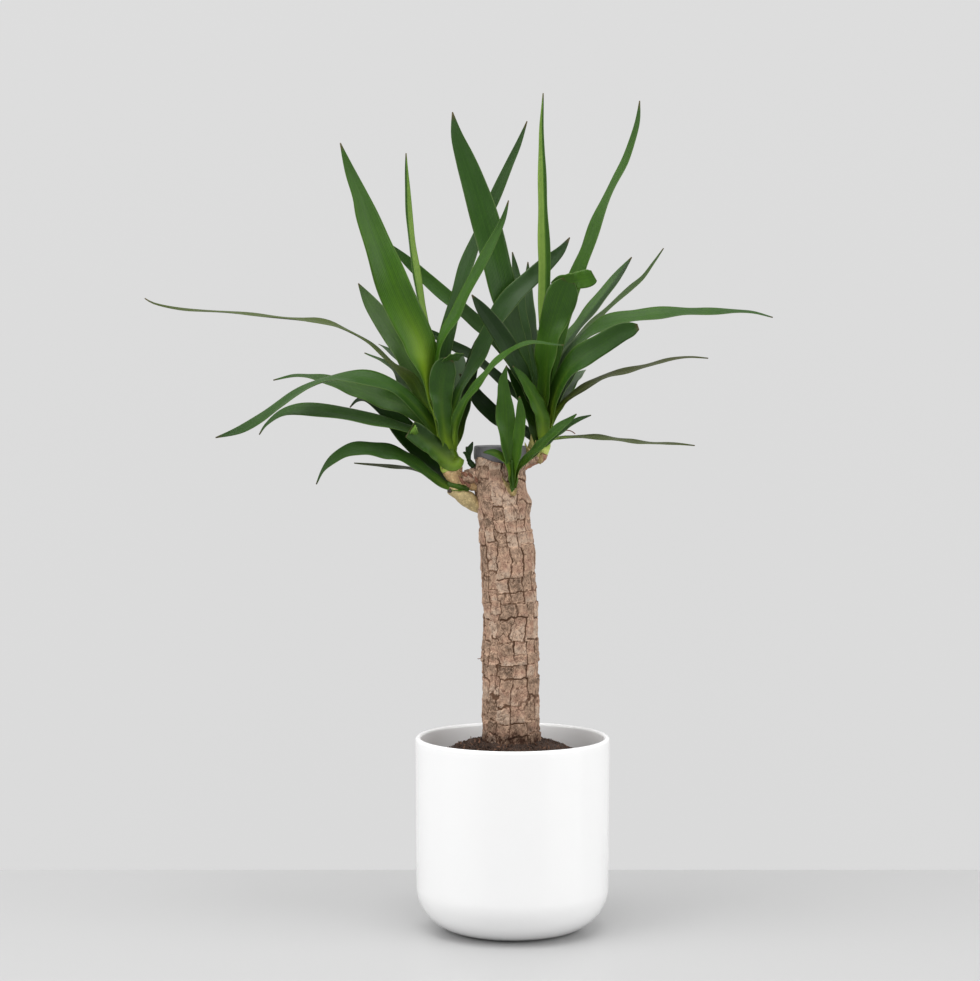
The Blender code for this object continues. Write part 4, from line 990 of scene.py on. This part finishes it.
def build_cane(settings):
    """The cane: a fine net round the cut trunk, raised into plates, with its marks as colours."""
    around, up = 230, 352
    heights = np.linspace(120.0, 409.5, up)
    points = np.zeros((up, around, 3))
    marks = np.ones((up, around, 4))
    for i, height in enumerate(heights):
        x, radius = along_line(CANE_LINE, height)
        for j in range(around):
            angle = 2 * math.pi * j / around
            rise, crack, tone, wrinkle = bark_at(settings, angle, height, radius)
            covered = held((height - wax_edge(angle) + 0.6) / 0.8)
            reach = radius + float(cane_bulge(height, angle)) + rise * (1 - covered) - 1.1 * covered
            points[i, j] = (x + reach * math.cos(angle), reach * math.sin(angle), height)
            ragged = noise_at(angle * 3, height / 9, 4.0) * 7
            stain = held((181.0 + ragged - height) / 18) * 0.85
            marks[i, j] = (crack, tone, stain, wrinkle)
    mesh = closed_loft("bark_cane", points * MM)
    ends = np.array(((0.2, 0.5, 0.0, 1.0), (0.2, 0.5, 0.0, 1.0)))
    set_colours(mesh, "bark", np.vstack([marks.reshape(-1, 4), ends]))
    cane = add_piece("bark_cane", mesh, bark_material(settings))
    finish_piece(cane, "bark", "cane")


def wax_edge(angle):
    """The height of the wax's lower edge round the cane, in millimetres."""
    wavy = WAX_EDGE + 2.6 * math.sin(angle) - 0.8 * math.cos(angle) + 0.7 * math.sin(3 * angle + 1.0)
    return wavy + WAX_ARCH * math.exp(-((angle - WAX_ARCH_ANGLE) / 0.42) ** 2)


def build_wax(settings):
    """The seal: a thin lumpy cup over the cut, its lower edge ragged."""
    angles = angles_round(160)
    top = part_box("wax_cap")[1].z / MM
    inner_top = 409.8
    wall = settings.wax_wall / MM
    rings = []
    for share in (0.4, 0.9, 1.0):
        rings.append([wax_point(a, -0.55, inner_top, share, 0.0) for a in angles])
    for offset, level in ((-0.55, 0.02), (-0.1, -0.03), (wall - 0.75, 0.0), (wall - 0.5, 0.12),
                          (wall - 0.45, 0.4), (wall - 0.45, 0.7), (wall - 0.55, 0.9), (wall - 0.95, 0.975),
                          (wall - 1.9, 1.0)):
        ring = []
        for a in angles:
            ragged = 0.9 * noise_at(a * 5, 2.0, 8.0) + 0.5 * noise_at(a * 14, 5.0, 1.0)
            low = wax_edge(a) + ragged
            ring.append(wax_point(a, offset, low + (top - low) * level, 1.0, 0.3))
        rings.append(ring)
    for share in (0.8, 0.5, 0.2):
        rings.append([wax_point(a, 0.0, top - 0.1 - 0.25 * share, share, 0.25) for a in angles])
    wax = add_piece("wax_seal", closed_loft("wax_seal", np.array(rings) * MM), wax_material(settings))
    finish_piece(wax, "wax", "wax_cap")


def wax_point(angle, offset, height, share, uneven):
    """A point of the seal, in millimetres, at an offset from the cane's own surface."""
    x, radius = along_line(CANE_LINE, 404.0)
    lump = uneven * noise_at(math.cos(angle) * 2.2, math.sin(angle) * 2.2, height / 6)
    reach = (radius + float(cane_bulge(404.0, angle)) + offset + lump) * share
    return (x + reach * math.cos(angle), reach * math.sin(angle), height + lump * (share < 1.0))


# Stems

def tube_rings(rows, around, detail, uneven, seed):
    """Rings round a smooth line of x, y, z and radius rows, with a little unevenness, in metres."""
    fine = smooth_rows(np.array(rows, float), detail)
    rings = []
    for k, row in enumerate(fine):
        ahead = Vector(fine[min(k + 1, detail)][:3])
        behind = Vector(fine[max(k - 1, 0)][:3])
        along = (ahead - behind).normalized()
        right = along.cross(Vector((0, 1, 0))).normalized()
        away = along.cross(right)
        ring = []
        for j in range(around):
            a = 2 * math.pi * j / around
            lump = uneven * noise_at(math.cos(a) * 1.5, math.sin(a) * 1.5, k * 0.35 + seed)
            spot = Vector(row[:3]) + (right * math.cos(a) + away * math.sin(a)) * (row[3] + lump)
            ring.append(tuple(spot * MM))
        rings.append(ring)
    return rings


def scale_flap(root, tip, breadth, facing, curl):
    """A small pointed papery scale from root to tip, in millimetres: points and faces of one solid."""
    root, tip, facing = Vector(root), Vector(tip), Vector(facing).normalized()
    along = tip - root
    side = along.cross(facing).normalized()
    steps, columns = 8, 5
    tops = []
    for i in range(steps + 1):
        t = i / steps
        width = breadth * (1 - t ** 1.7) * (0.8 + 0.4 * math.sin(math.pi * min(t * 1.3, 1.0))) + 0.15
        for j in range(columns):
            u = 2 * j / (columns - 1) - 1
            spot = root + along * t + side * (u * width / 2)
            spot += facing * (curl * t * t - 0.25 * breadth * u * u * (1 - 0.5 * t))
            tops.append(spot)
    points = [tuple(p * MM) for p in tops + [p - facing * 0.45 for p in tops]]
    return points, sheet_faces(steps + 1, columns)


def build_flaps(name, flaps, finish):
    """One piece of several small scales."""
    points, faces = [], []
    for flap in flaps:
        own, joined = scale_flap(*flap)
        faces += [tuple(v + len(points) for v in face) for face in joined]
        points += own
    finish_piece(add_piece(name, mesh_from(name, points, faces), finish), "stem")


def build_tube(name, rows, around, detail, uneven, seed, finish, *nodes):
    """One lumpy round piece along its rows, in place of the nodes that it stands for."""
    mesh = closed_loft(name, tube_rings(rows, around, detail, uneven, seed))
    finish_piece(add_piece(name, mesh, finish), "stem", *nodes)


def build_stems(settings):
    """The three stubs, their callus, a dark lump of painted shade in the low stub's hollow end, and the dry
    scales on them.
    """
    tan = wood_material("young_wood", settings.tan, 0.5)
    pink = wood_material("pink_stub", settings.pink, 0.6)
    green = wood_material("green_stub", (0.47, 0.36, 0.17), 0.5)
    paper = wood_material("dry_paper", settings.paper, 0.5)
    sheath = wood_material("olive_sheath", settings.sheath, 0.6)
    callus = wood_material("callus", (0.37, 0.235, 0.155), 0.85)
    hole_shade = wood_material("painted_hole_shade", (0.05, 0.03, 0.015), 0.5)
    straw = wood_material("straw_sheath", (0.32, 0.235, 0.085), 0.6)
    for name, rows, around, detail, lump, seed, finish, nodes in (
            ("left_stub", STEM_LEFT, 40, 28, 0.7, 9, tan, ["stem_left"]),
            ("low_left_stub", STEM_LOW_LEFT, 40, 28, 0.7, 13, green, ["stem_low_left"]),
            ("right_stub", STEM_RIGHT, 40, 28, 0.7, 10, pink, ["stem_right"]),
            ("left_callus", LEFT_CALLUS, 36, 26, 2.0, 33, callus, []),
            ("right_callus", RIGHT_CALLUS, 36, 26, 1.8, 36, callus, [])):
        build_tube(name, rows, around, detail, lump, seed, finish, *nodes)
    build_flaps("left_paper_scales", PAPER_SCALES, paper)
    # painted shade: a dark lump stands for the shadow in the hollow cut end of the low stub
    build_tube("stub_hole_shade", HOLE_SHADE, 24, 12, 0.3, 4.0, hole_shade)
    build_flaps("front_straw_scales", FRONT_STRAW_SCALES, straw)
    build_flaps("right_sheath_scales", SHEATH_SCALES, sheath)
    build_flaps("right_straw_scales", RIGHT_STRAW_SCALES, straw)


# Blades

def smooth_curve(knots, places):
    """Values on a smooth curve through knots, at places counted in knots."""
    last = len(knots) - 1
    i = np.minimum(places.astype(int), last - 1)
    t = (places - i).reshape(-1, *[1] * (knots.ndim - 1))
    a, b, c, d = knots[np.maximum(i - 1, 0)], knots[i], knots[i + 1], knots[np.minimum(i + 2, last)]
    return 0.5 * (2 * b + (c - a) * t + (2 * a - 5 * b + 4 * c - d) * t * t
                  + (3 * b - a - 3 * c + d) * t ** 3)


def lengths_along(points):
    """How far along a line of points each one is."""
    return np.concatenate([[0], np.cumsum(np.linalg.norm(np.diff(points, axis=0), axis=1))])


def smooth_rows(rows, count):
    """Rows at even steps of length on a smooth curve through the given ones."""
    rows = np.asarray(rows, float)
    fine = smooth_curve(rows, np.linspace(0, len(rows) - 1, 401))
    lengths = lengths_along(fine[:, :2])
    wanted = np.linspace(0, lengths[-1], count + 1)
    return np.stack([np.interp(wanted, lengths, fine[:, k]) for k in range(rows.shape[1])], axis=1)


def breadth_share(t):
    """A blade's breadth along its length: a narrow neck, widest at the middle, a long point."""
    rise = np.minimum(t / 0.45, 1.0)
    rise = rise * rise * (3 - 2 * rise)
    fall = np.maximum((t - 0.5) / 0.5, 0.0)
    return (0.5 + 0.5 * rise) * (1 - fall ** 2.2)


def core_point(core, height):
    """The point of a core's axis at a height."""
    core = np.asarray(core, float)
    return np.array([np.interp(height, core[:, 2], core[:, k]) for k in range(3)])


def clasped(run, neck):
    """How closely a blade clasps its core, and how far its neck has widened, along its length."""
    return np.clip(1 - run / 18.0, 0, 1) ** 1.2, 0.35 + 0.65 * np.clip(run / neck, 0, 1)


def eased(values, reach):
    """Values smoothed along a blade."""
    padded = np.concatenate([[values[0]] * reach, values, [values[-1]] * reach])
    weights = np.hanning(2 * reach + 3)[1:-1]
    return np.convolve(padded, weights / weights.sum(), mode="valid")


class BladeNet:
    """Gathers blades as points, faces, blade coordinates and looks, and makes them one piece."""

    def __init__(self, thickness):
        self.thickness = thickness / MM
        self.points, self.faces, self.places, self.looks = [], [], [], []
        self.count = 0

    def add(self, points, across, normals, breadths, channels, tone, glow, seed, dry=0.03, dull=0.0):
        """One blade: two skins that meet at the margins, thin at the edge, its margins a little wavy."""
        rows = len(points)
        u = np.linspace(-1, 1, BLADE_COLUMNS)[None, :]
        t = np.linspace(0, 1, rows)[:, None]
        draw = random.Random(seed)
        phase, waves = draw.uniform(0, 6.3), draw.uniform(3, 6)
        half = (breadths / 2)[:, None]
        lift = half * np.tan(np.radians(channels))[:, None] * np.abs(u) ** 1.35
        wave = 0.05 * breadths[:, None] * np.sin(waves * 6.28 * t + phase) * np.abs(u) ** 2
        wave = wave * np.sign(u) * np.sin(np.pi * t)
        middle = (points[:, None, :] + across[:, None, :] * (half * u)[:, :, None]
                  + normals[:, None, :] * (lift + wave)[:, :, None])
        body = 0.45 + 0.55 * np.sin(np.pi * np.clip(t, 0.02, 0.98)) ** 0.5
        thick = np.maximum(self.thickness * (1 - 0.5 * u ** 2) * body, 0.3)
        skin = normals[:, None, :] * (thick / 2)[:, :, None]
        self.points += [(middle + skin).reshape(-1, 3), (middle - skin).reshape(-1, 3)]
        self.faces += sheet_faces(rows, BLADE_COLUMNS, self.count)
        place = np.stack(np.broadcast_arrays((u + 1) / 2, t), axis=2).reshape(-1, 2)
        self.places += [place, place]
        run = lengths_along(points)[:, None]
        centre, reach = BROAD_KEEL if breadths.max() > 27.5 and glow > 0.95 else ORDINARY_KEEL
        keel = np.exp(-((run - centre) / reach) ** 2) * np.exp(-(u / 0.55) ** 2)
        streak = np.exp(-((run - 40.0) / 38.0) ** 2) * np.exp(-(u / 0.20) ** 2)
        young = glow * np.exp(-(run / (14.0 + 15.0 * glow)) ** 2) + 0.6 * glow * keel + 0.16 * glow * streak
        worn = dry * draw.uniform(0.7, 1.3)
        tips = np.clip((t - (1 - worn)) / worn, 0, 1) ** 0.5 * 0.9
        tips = np.maximum(tips, dull * np.clip((t - 0.12) / 0.15, 0, 1))
        # shade is painted light and shade: a pair of tones paints one half of the fold lit and the other
        # shaded, and the middle of the blade's length is made a little lighter
        left, right = tone if isinstance(tone, tuple) else (tone, tone)
        shade = right + (left - right) * np.clip(0.5 + u / 0.3, 0, 1) + 0.10 * np.sin(np.pi * t) - 0.05
        for under in (0.0, 1.0):
            look = np.broadcast_arrays(shade, np.clip(young, 0, 0.95), tips, under)
            self.looks.append(np.stack(look, axis=2).reshape(-1, 4))
        self.count += 2 * rows * BLADE_COLUMNS

    def add_core(self, core, glow, tone):
        """The young stem in the middle of the head."""
        rings = np.array(tube_rings(core, 28, 24, 0.35, 3.0)) / MM
        rows, around, _ = rings.shape
        self.points += [rings.reshape(-1, 3), [rings[0].mean(axis=0), rings[-1].mean(axis=0)]]
        self.faces += loft_faces(rows, around, self.count)
        t = np.linspace(0, 1, rows)
        place = np.stack(np.broadcast_arrays(np.linspace(0.05, 0.95, around), t[:, None]), axis=2)
        self.places += [place.reshape(-1, 2), [[0.5, 0.0], [0.5, 1.0]]]
        run = t * (core[-1][2] - core[0][2])
        look = np.zeros((rows * around + 2, 4))
        look[:, 0] = tone
        look[:-2, 1] = np.repeat(glow * (0.15 + 0.8 * np.exp(-(run / (4 + 12 * glow)) ** 2)), around)
        self.looks.append(look)
        self.count += rows * around + 2

    def piece(self, name, finish):
        points = np.vstack(self.points) * MM
        mesh = bpy.data.meshes.new(name)
        mesh.from_pydata(points.tolist(), [], self.faces)
        layer = mesh.uv_layers.new(name="blade")
        corners = np.zeros(len(mesh.loops), np.int32)
        mesh.loops.foreach_get("vertex_index", corners)
        layer.data.foreach_set("uv", np.vstack(self.places)[corners].astype(np.float32).ravel())
        set_colours(mesh, "look", np.vstack(self.looks))
        out_facing(mesh)
        return add_piece(name, mesh, finish)


def table_blade(net, spec, core, seed):
    """A blade through the rows of its table, turned so that it shows the breadth that they give."""
    name, root, widest, turn, channel, tone, glow, depths, rows = spec
    rows, depths = list(rows), list(depths)
    rooted = root is not None
    if rooted:
        x, y, z = core_point(core, root)
        shrink = EYE_DISTANCE / (EYE_DISTANCE + y)
        rows.insert(0, (EYE_X + (x - EYE_X) * shrink, EYE_Z + (z - EYE_Z) * shrink, 7.0))
        depths[0] = y
    steps = 72 if len(rows) > 5 else 28
    line = smooth_rows(rows, steps)
    t = np.linspace(0, 1, steps + 1)
    shown = np.maximum(line[:, 2], 0.4)
    full = np.maximum(np.maximum(widest * breadth_share(t), shown), 0.5)
    turns = eased(np.arccos(np.clip(shown / full, -1, 1)), steps // 12)
    depth = smooth_curve(np.asarray(depths, float), 3 * t)
    spread = (EYE_DISTANCE + depth) / EYE_DISTANCE
    points = np.stack([EYE_X + (line[:, 0] - EYE_X) * spread, depth,
                       EYE_Z + (line[:, 1] - EYE_Z) * spread], axis=1)
    along = np.gradient(line[:, :2], axis=0)
    along /= np.linalg.norm(along, axis=1)[:, None]
    flat = np.stack([-along[:, 1], np.zeros(steps + 1), along[:, 0]], axis=1)
    forward = np.stack([along[:, 0], np.zeros(steps + 1), along[:, 1]], axis=1)
    facing = np.cross(forward, flat)
    angle = (turn * turns)[:, None]
    across = flat * np.cos(angle) + facing * np.sin(angle)
    normals = facing * np.cos(angle) - flat * np.sin(angle)
    breadths = np.minimum(shown / np.maximum(np.cos(turns), 0.12), widest * 1.05)
    channels = np.full(steps + 1, float(channel))
    if rooted:
        clasp, neck = clasped(lengths_along(points), 8.0)
        channels = channels + (52 - channels) * clasp
        breadths = breadths + (np.maximum(breadths, min(15.0, 0.75 * widest)) - breadths) * clasp
        breadths = breadths * neck
    net.add(points, across, normals, breadths, channels, tone, glow, seed, dry=0.018 if rooted else 0.001,
            dull=DULL.get(name, 0.0))


def back_blades(net, rule, core):
    """Blades that arch away behind a head, by a rule and a seeded draw."""
    count, first, last, length, seed = rule
    draw = random.Random(seed)
    for k in range(count):
        heading = math.radians(first + (last - first) * (k + 0.5) / count + draw.uniform(-5, 5))
        out = np.array((math.cos(heading), math.sin(heading), 0))
        reach = length * draw.uniform(0.82, 1.12)
        bend = draw.uniform(0.75, 1.15)
        widest = draw.uniform(17, 22)
        steps = 60
        t = np.linspace(0, 1, steps + 1)
        lean = math.radians(16 + 20 * (k % 2)) + bend * t
        along = out[None, :] * np.sin(lean)[:, None] + np.array((0, 0, 1.0))[None, :] * np.cos(lean)[:, None]
        start = core_point(core, core[0][2] + 6 + 2.6 * (k % 3))
        points = start + np.vstack([np.zeros(3), np.cumsum(along[:-1] * (reach / steps), axis=0)])
        side = np.tile(np.array((-out[1], out[0], 0.0)), (steps + 1, 1))
        normals = -np.cross(side, along)
        breadths = np.maximum(widest * breadth_share(t), 0.5)
        clasp, neck = clasped(t * reach, 9.0)
        net.add(points, side, normals, breadths * neck, 12 + 34 * clasp, 0.3 + 0.18 * (k % 3), 0.4,
                100 * seed + k)


def base_sheaths(net, core, count, breadth, glow, seed):
    """Short leaf bases that overlap round the foot of a core."""
    draw = random.Random(seed)
    core = np.asarray(core, float)
    for k in range(count):
        heading = k * 2.4 + draw.uniform(-0.3, 0.3)
        steps = 20
        t = np.linspace(0, 1, steps + 1)
        low = core[0, 2] - 0.5 + draw.uniform(0, 2)
        reach = draw.uniform(24, 36)
        axis = np.array([core_point(core, low + reach * s) for s in t])
        radius = np.interp(low + reach * t, core[:, 2], core[:, 3])
        out = np.array((math.cos(heading), math.sin(heading), 0.0))
        stand = np.maximum(radius, core[0, 3] * (0.92 - 0.5 * t)) + 0.2 + 0.25 * k / count
        points = axis + out[None, :] * stand[:, None]
        points[:, 2] = low + reach * t
        side = np.tile(np.array((-out[1], out[0], 0.0)), (steps + 1, 1))
        along = np.gradient(points, axis=0)
        along /= np.linalg.norm(along, axis=1)[:, None]
        normals = -np.cross(side, along)
        breadths = breadth * (1 - 0.92 * t ** 1.8)
        net.add(points, side, normals, breadths, 50 - 12 * t, 0.45, glow, 500 + seed + k, dry=0.01)


def build_heads(settings):
    """Each head and shoot: its core, the blades of its table, those behind it, and its sheaths."""
    finish = blade_material(settings)
    for name, node, slot, core, slim, blades, back, glow, tone, (sheaths, breadth) in HEADS:
        core = [(x, y, z, r * slim) for x, y, z, r in core]
        net = BladeNet(settings.thickness)
        net.add_core(core, glow, tone)
        for k, blade in enumerate(blades):
            table_blade(net, blade, core, len(name) * 37 + k)
        if back:
            back_blades(net, back, core)
        base_sheaths(net, core, sheaths, breadth, glow * 0.85, len(name))
        finish_piece(net.piece(name, finish), slot, node)


# Small things

def thread(name, points, radius, finish, slot):
    """A thin dry thread through points in millimetres."""
    curve = bpy.data.curves.new(name, "CURVE")
    curve.dimensions = "3D"
    curve.bevel_depth = radius * MM
    curve.bevel_resolution = 2
    curve.use_fill_caps = True
    spline = curve.splines.new("POLY")
    line = smooth_rows(np.array(points, float), 24)
    spline.points.add(len(line) - 1)
    for point, place in zip(spline.points, line):
        point.co = (*(place * MM), 1.0)
    mesh = baked_mesh(new_object(name, curve))
    out_facing(mesh, WELD)
    finish_piece(add_piece(name, mesh, finish), slot)


def build_trifles(settings):
    """A torn root hair on the cane and a dry curl at the right head."""
    dry = wood_material("dry_thread", settings.paper, 0.5)
    thread("root_hair", ROOT_HAIR, 0.32, dry, "bark")
    thread("dry_curl", DRY_CURL, 0.45, dry, "stem")


# Stage

def soft_light(name, place, target, size, power):
    data = bpy.data.lights.new(name, "AREA")
    data.shape = "RECTANGLE"
    data.size, data.size_y = size
    data.energy = power
    lamp = new_object(name, data)
    lamp.location = place
    lamp.rotation_euler = (Vector(target) - lamp.location).to_track_quat("-Z", "Y").to_euler()


def stage_plane(name, corners, finish):
    mesh = bpy.data.meshes.new(name)
    mesh.from_pydata(corners, [], [(0, 1, 2, 3)])
    mesh.materials.append(finish)
    new_object(name, mesh)


def one_sided(finish):
    """Lets a stage surface be seen from its front only."""
    tree = finish.node_tree
    shader = tree.nodes["Principled BSDF"]
    output = next(n for n in tree.nodes if n.type == "OUTPUT_MATERIAL")
    clear = put(tree, "BsdfTransparent")
    back = put(tree, "NewGeometry").outputs["Backfacing"]
    both = put(tree, "MixShader", i0=back, i1=shader.outputs[0], i2=clear.outputs[0])
    tree.links.new(both.outputs[0], output.inputs["Surface"])


def build_stage(settings):
    scene = bpy.context.scene
    camera = bpy.data.cameras.new("camera")
    camera.lens = settings.lens
    camera.sensor_width = 36.0
    camera.clip_end = 20.0
    eye = new_object("camera", camera)
    eye.location = (EYE_X * MM, -EYE_DISTANCE * MM, EYE_Z * MM)
    eye.rotation_euler = (math.pi / 2 - settings.tilt, 0, 0)
    scene.camera = eye
    scene.view_settings.view_transform = "Standard"
    far = 3.0
    floor = plain_material("stage_floor", settings.floor, 0.30)
    stage_plane("floor", ((-far, -far, 0), (far, -far, 0), (far, far, 0), (-far, far, 0)), floor)
    wall = plain_material("stage_wall", tinted(settings.wall, 0.05), 0.9)
    shader = wall.node_tree.nodes["Principled BSDF"]
    shader.inputs["Emission Color"].default_value = (*settings.wall, 1.0)
    shader.inputs["Emission Strength"].default_value = WALL_GLOW
    one_sided(wall)
    y = settings.wall_distance
    stage_plane("wall", ((-far, y, 0), (far, y, 0), (far, y, far), (-far, y, far)), wall)
    soft_light("key", (-1.9, -1.0, 1.15), (0, 0, 0.3), (2.2, 2.1), settings.key)
    soft_light("fill", (1.9, -0.95, 0.9), (0, 0, 0.25), (2.0, 1.7), settings.fill)
    soft_light("top", (-0.2, -0.5, 2.0), (0, 0, 0.2), (1.6, 1.2), settings.fill * 1.05)
    world = bpy.data.worlds.new("studio")
    scene.world = world
    world.use_nodes = True
    background = world.node_tree.nodes["Background"]
    background.inputs[0].default_value = (1.0, 1.0, 1.0, 1.0)
    background.inputs[1].default_value = settings.sky


# Operators

class YUCCA_OT_pot(bpy.types.Operator):
    """Make the glazed pot"""
    bl_idname = "yucca.pot"
    bl_label = "Pot"

    def execute(self, context):
        build_pot(context.scene.yucca_pot)
        return {"FINISHED"}


class YUCCA_OT_soil(bpy.types.Operator):
    """Make the heaped soil with its crumbs"""
    bl_idname = "yucca.soil"
    bl_label = "Soil"

    def execute(self, context):
        build_soil(context.scene.yucca_soil)
        return {"FINISHED"}


class YUCCA_OT_cane(bpy.types.Operator):
    """Make the cane with its plated bark, and the wax on its cut"""
    bl_idname = "yucca.cane"
    bl_label = "Cane and wax"

    def execute(self, context):
        build_cane(context.scene.yucca_cane)
        build_wax(context.scene.yucca_cane)
        return {"FINISHED"}


class YUCCA_OT_stems(bpy.types.Operator):
    """Make the young stems with their scales, and the small dry threads"""
    bl_idname = "yucca.stems"
    bl_label = "Stems"

    def execute(self, context):
        build_stems(context.scene.yucca_stems)
        build_trifles(context.scene.yucca_stems)
        return {"FINISHED"}


class YUCCA_OT_heads(bpy.types.Operator):
    """Make the heads and shoots of blades"""
    bl_idname = "yucca.heads"
    bl_label = "Heads"

    def execute(self, context):
        build_heads(context.scene.yucca_blades)
        return {"FINISHED"}


class YUCCA_OT_stage(bpy.types.Operator):
    """Make the floor, the wall, the lights and the camera"""
    bl_idname = "yucca.stage"
    bl_label = "Stage"

    def execute(self, context):
        build_stage(context.scene.yucca_stage)
        return {"FINISHED"}


GROUPS = {"yucca_pot": PotSettings, "yucca_soil": SoilSettings, "yucca_cane": CaneSettings,
          "yucca_stems": StemSettings, "yucca_blades": BladeSettings, "yucca_stage": StageSettings}
BUTTONS = {"yucca_pot": YUCCA_OT_pot, "yucca_soil": YUCCA_OT_soil, "yucca_cane": YUCCA_OT_cane,
           "yucca_stems": YUCCA_OT_stems, "yucca_blades": YUCCA_OT_heads, "yucca_stage": YUCCA_OT_stage}


class YUCCA_PT_panel(bpy.types.Panel):
    """The yucca's buttons, each with its own settings"""
    bl_idname = "YUCCA_PT_panel"
    bl_label = "Potted yucca"
    bl_space_type = "VIEW_3D"
    bl_region_type = "UI"
    bl_category = "Yucca"

    def draw(self, context):
        for key, group in GROUPS.items():
            box = self.layout.box()
            box.operator(BUTTONS[key].bl_idname)
            settings = getattr(context.scene, key)
            for name in group.__annotations__:
                box.prop(settings, name)


def register():
    for group in GROUPS.values():
        bpy.utils.register_class(group)
    for button in BUTTONS.values():
        bpy.utils.register_class(button)
    bpy.utils.register_class(YUCCA_PT_panel)
    for key, group in GROUPS.items():
        setattr(bpy.types.Scene, key, bpy.props.PointerProperty(type=group))


def unregister():
    for key in GROUPS:
        delattr(bpy.types.Scene, key)
    bpy.utils.unregister_class(YUCCA_PT_panel)
    for item in [*BUTTONS.values(), *GROUPS.values()]:
        bpy.utils.unregister_class(item)


def main():
    register()
    bpy.ops.yucca.pot()
    bpy.ops.yucca.soil()
    bpy.ops.yucca.cane()
    bpy.ops.yucca.stems()
    bpy.ops.yucca.heads()
    bpy.ops.yucca.stage()


if __name__ == "__main__":
    main()
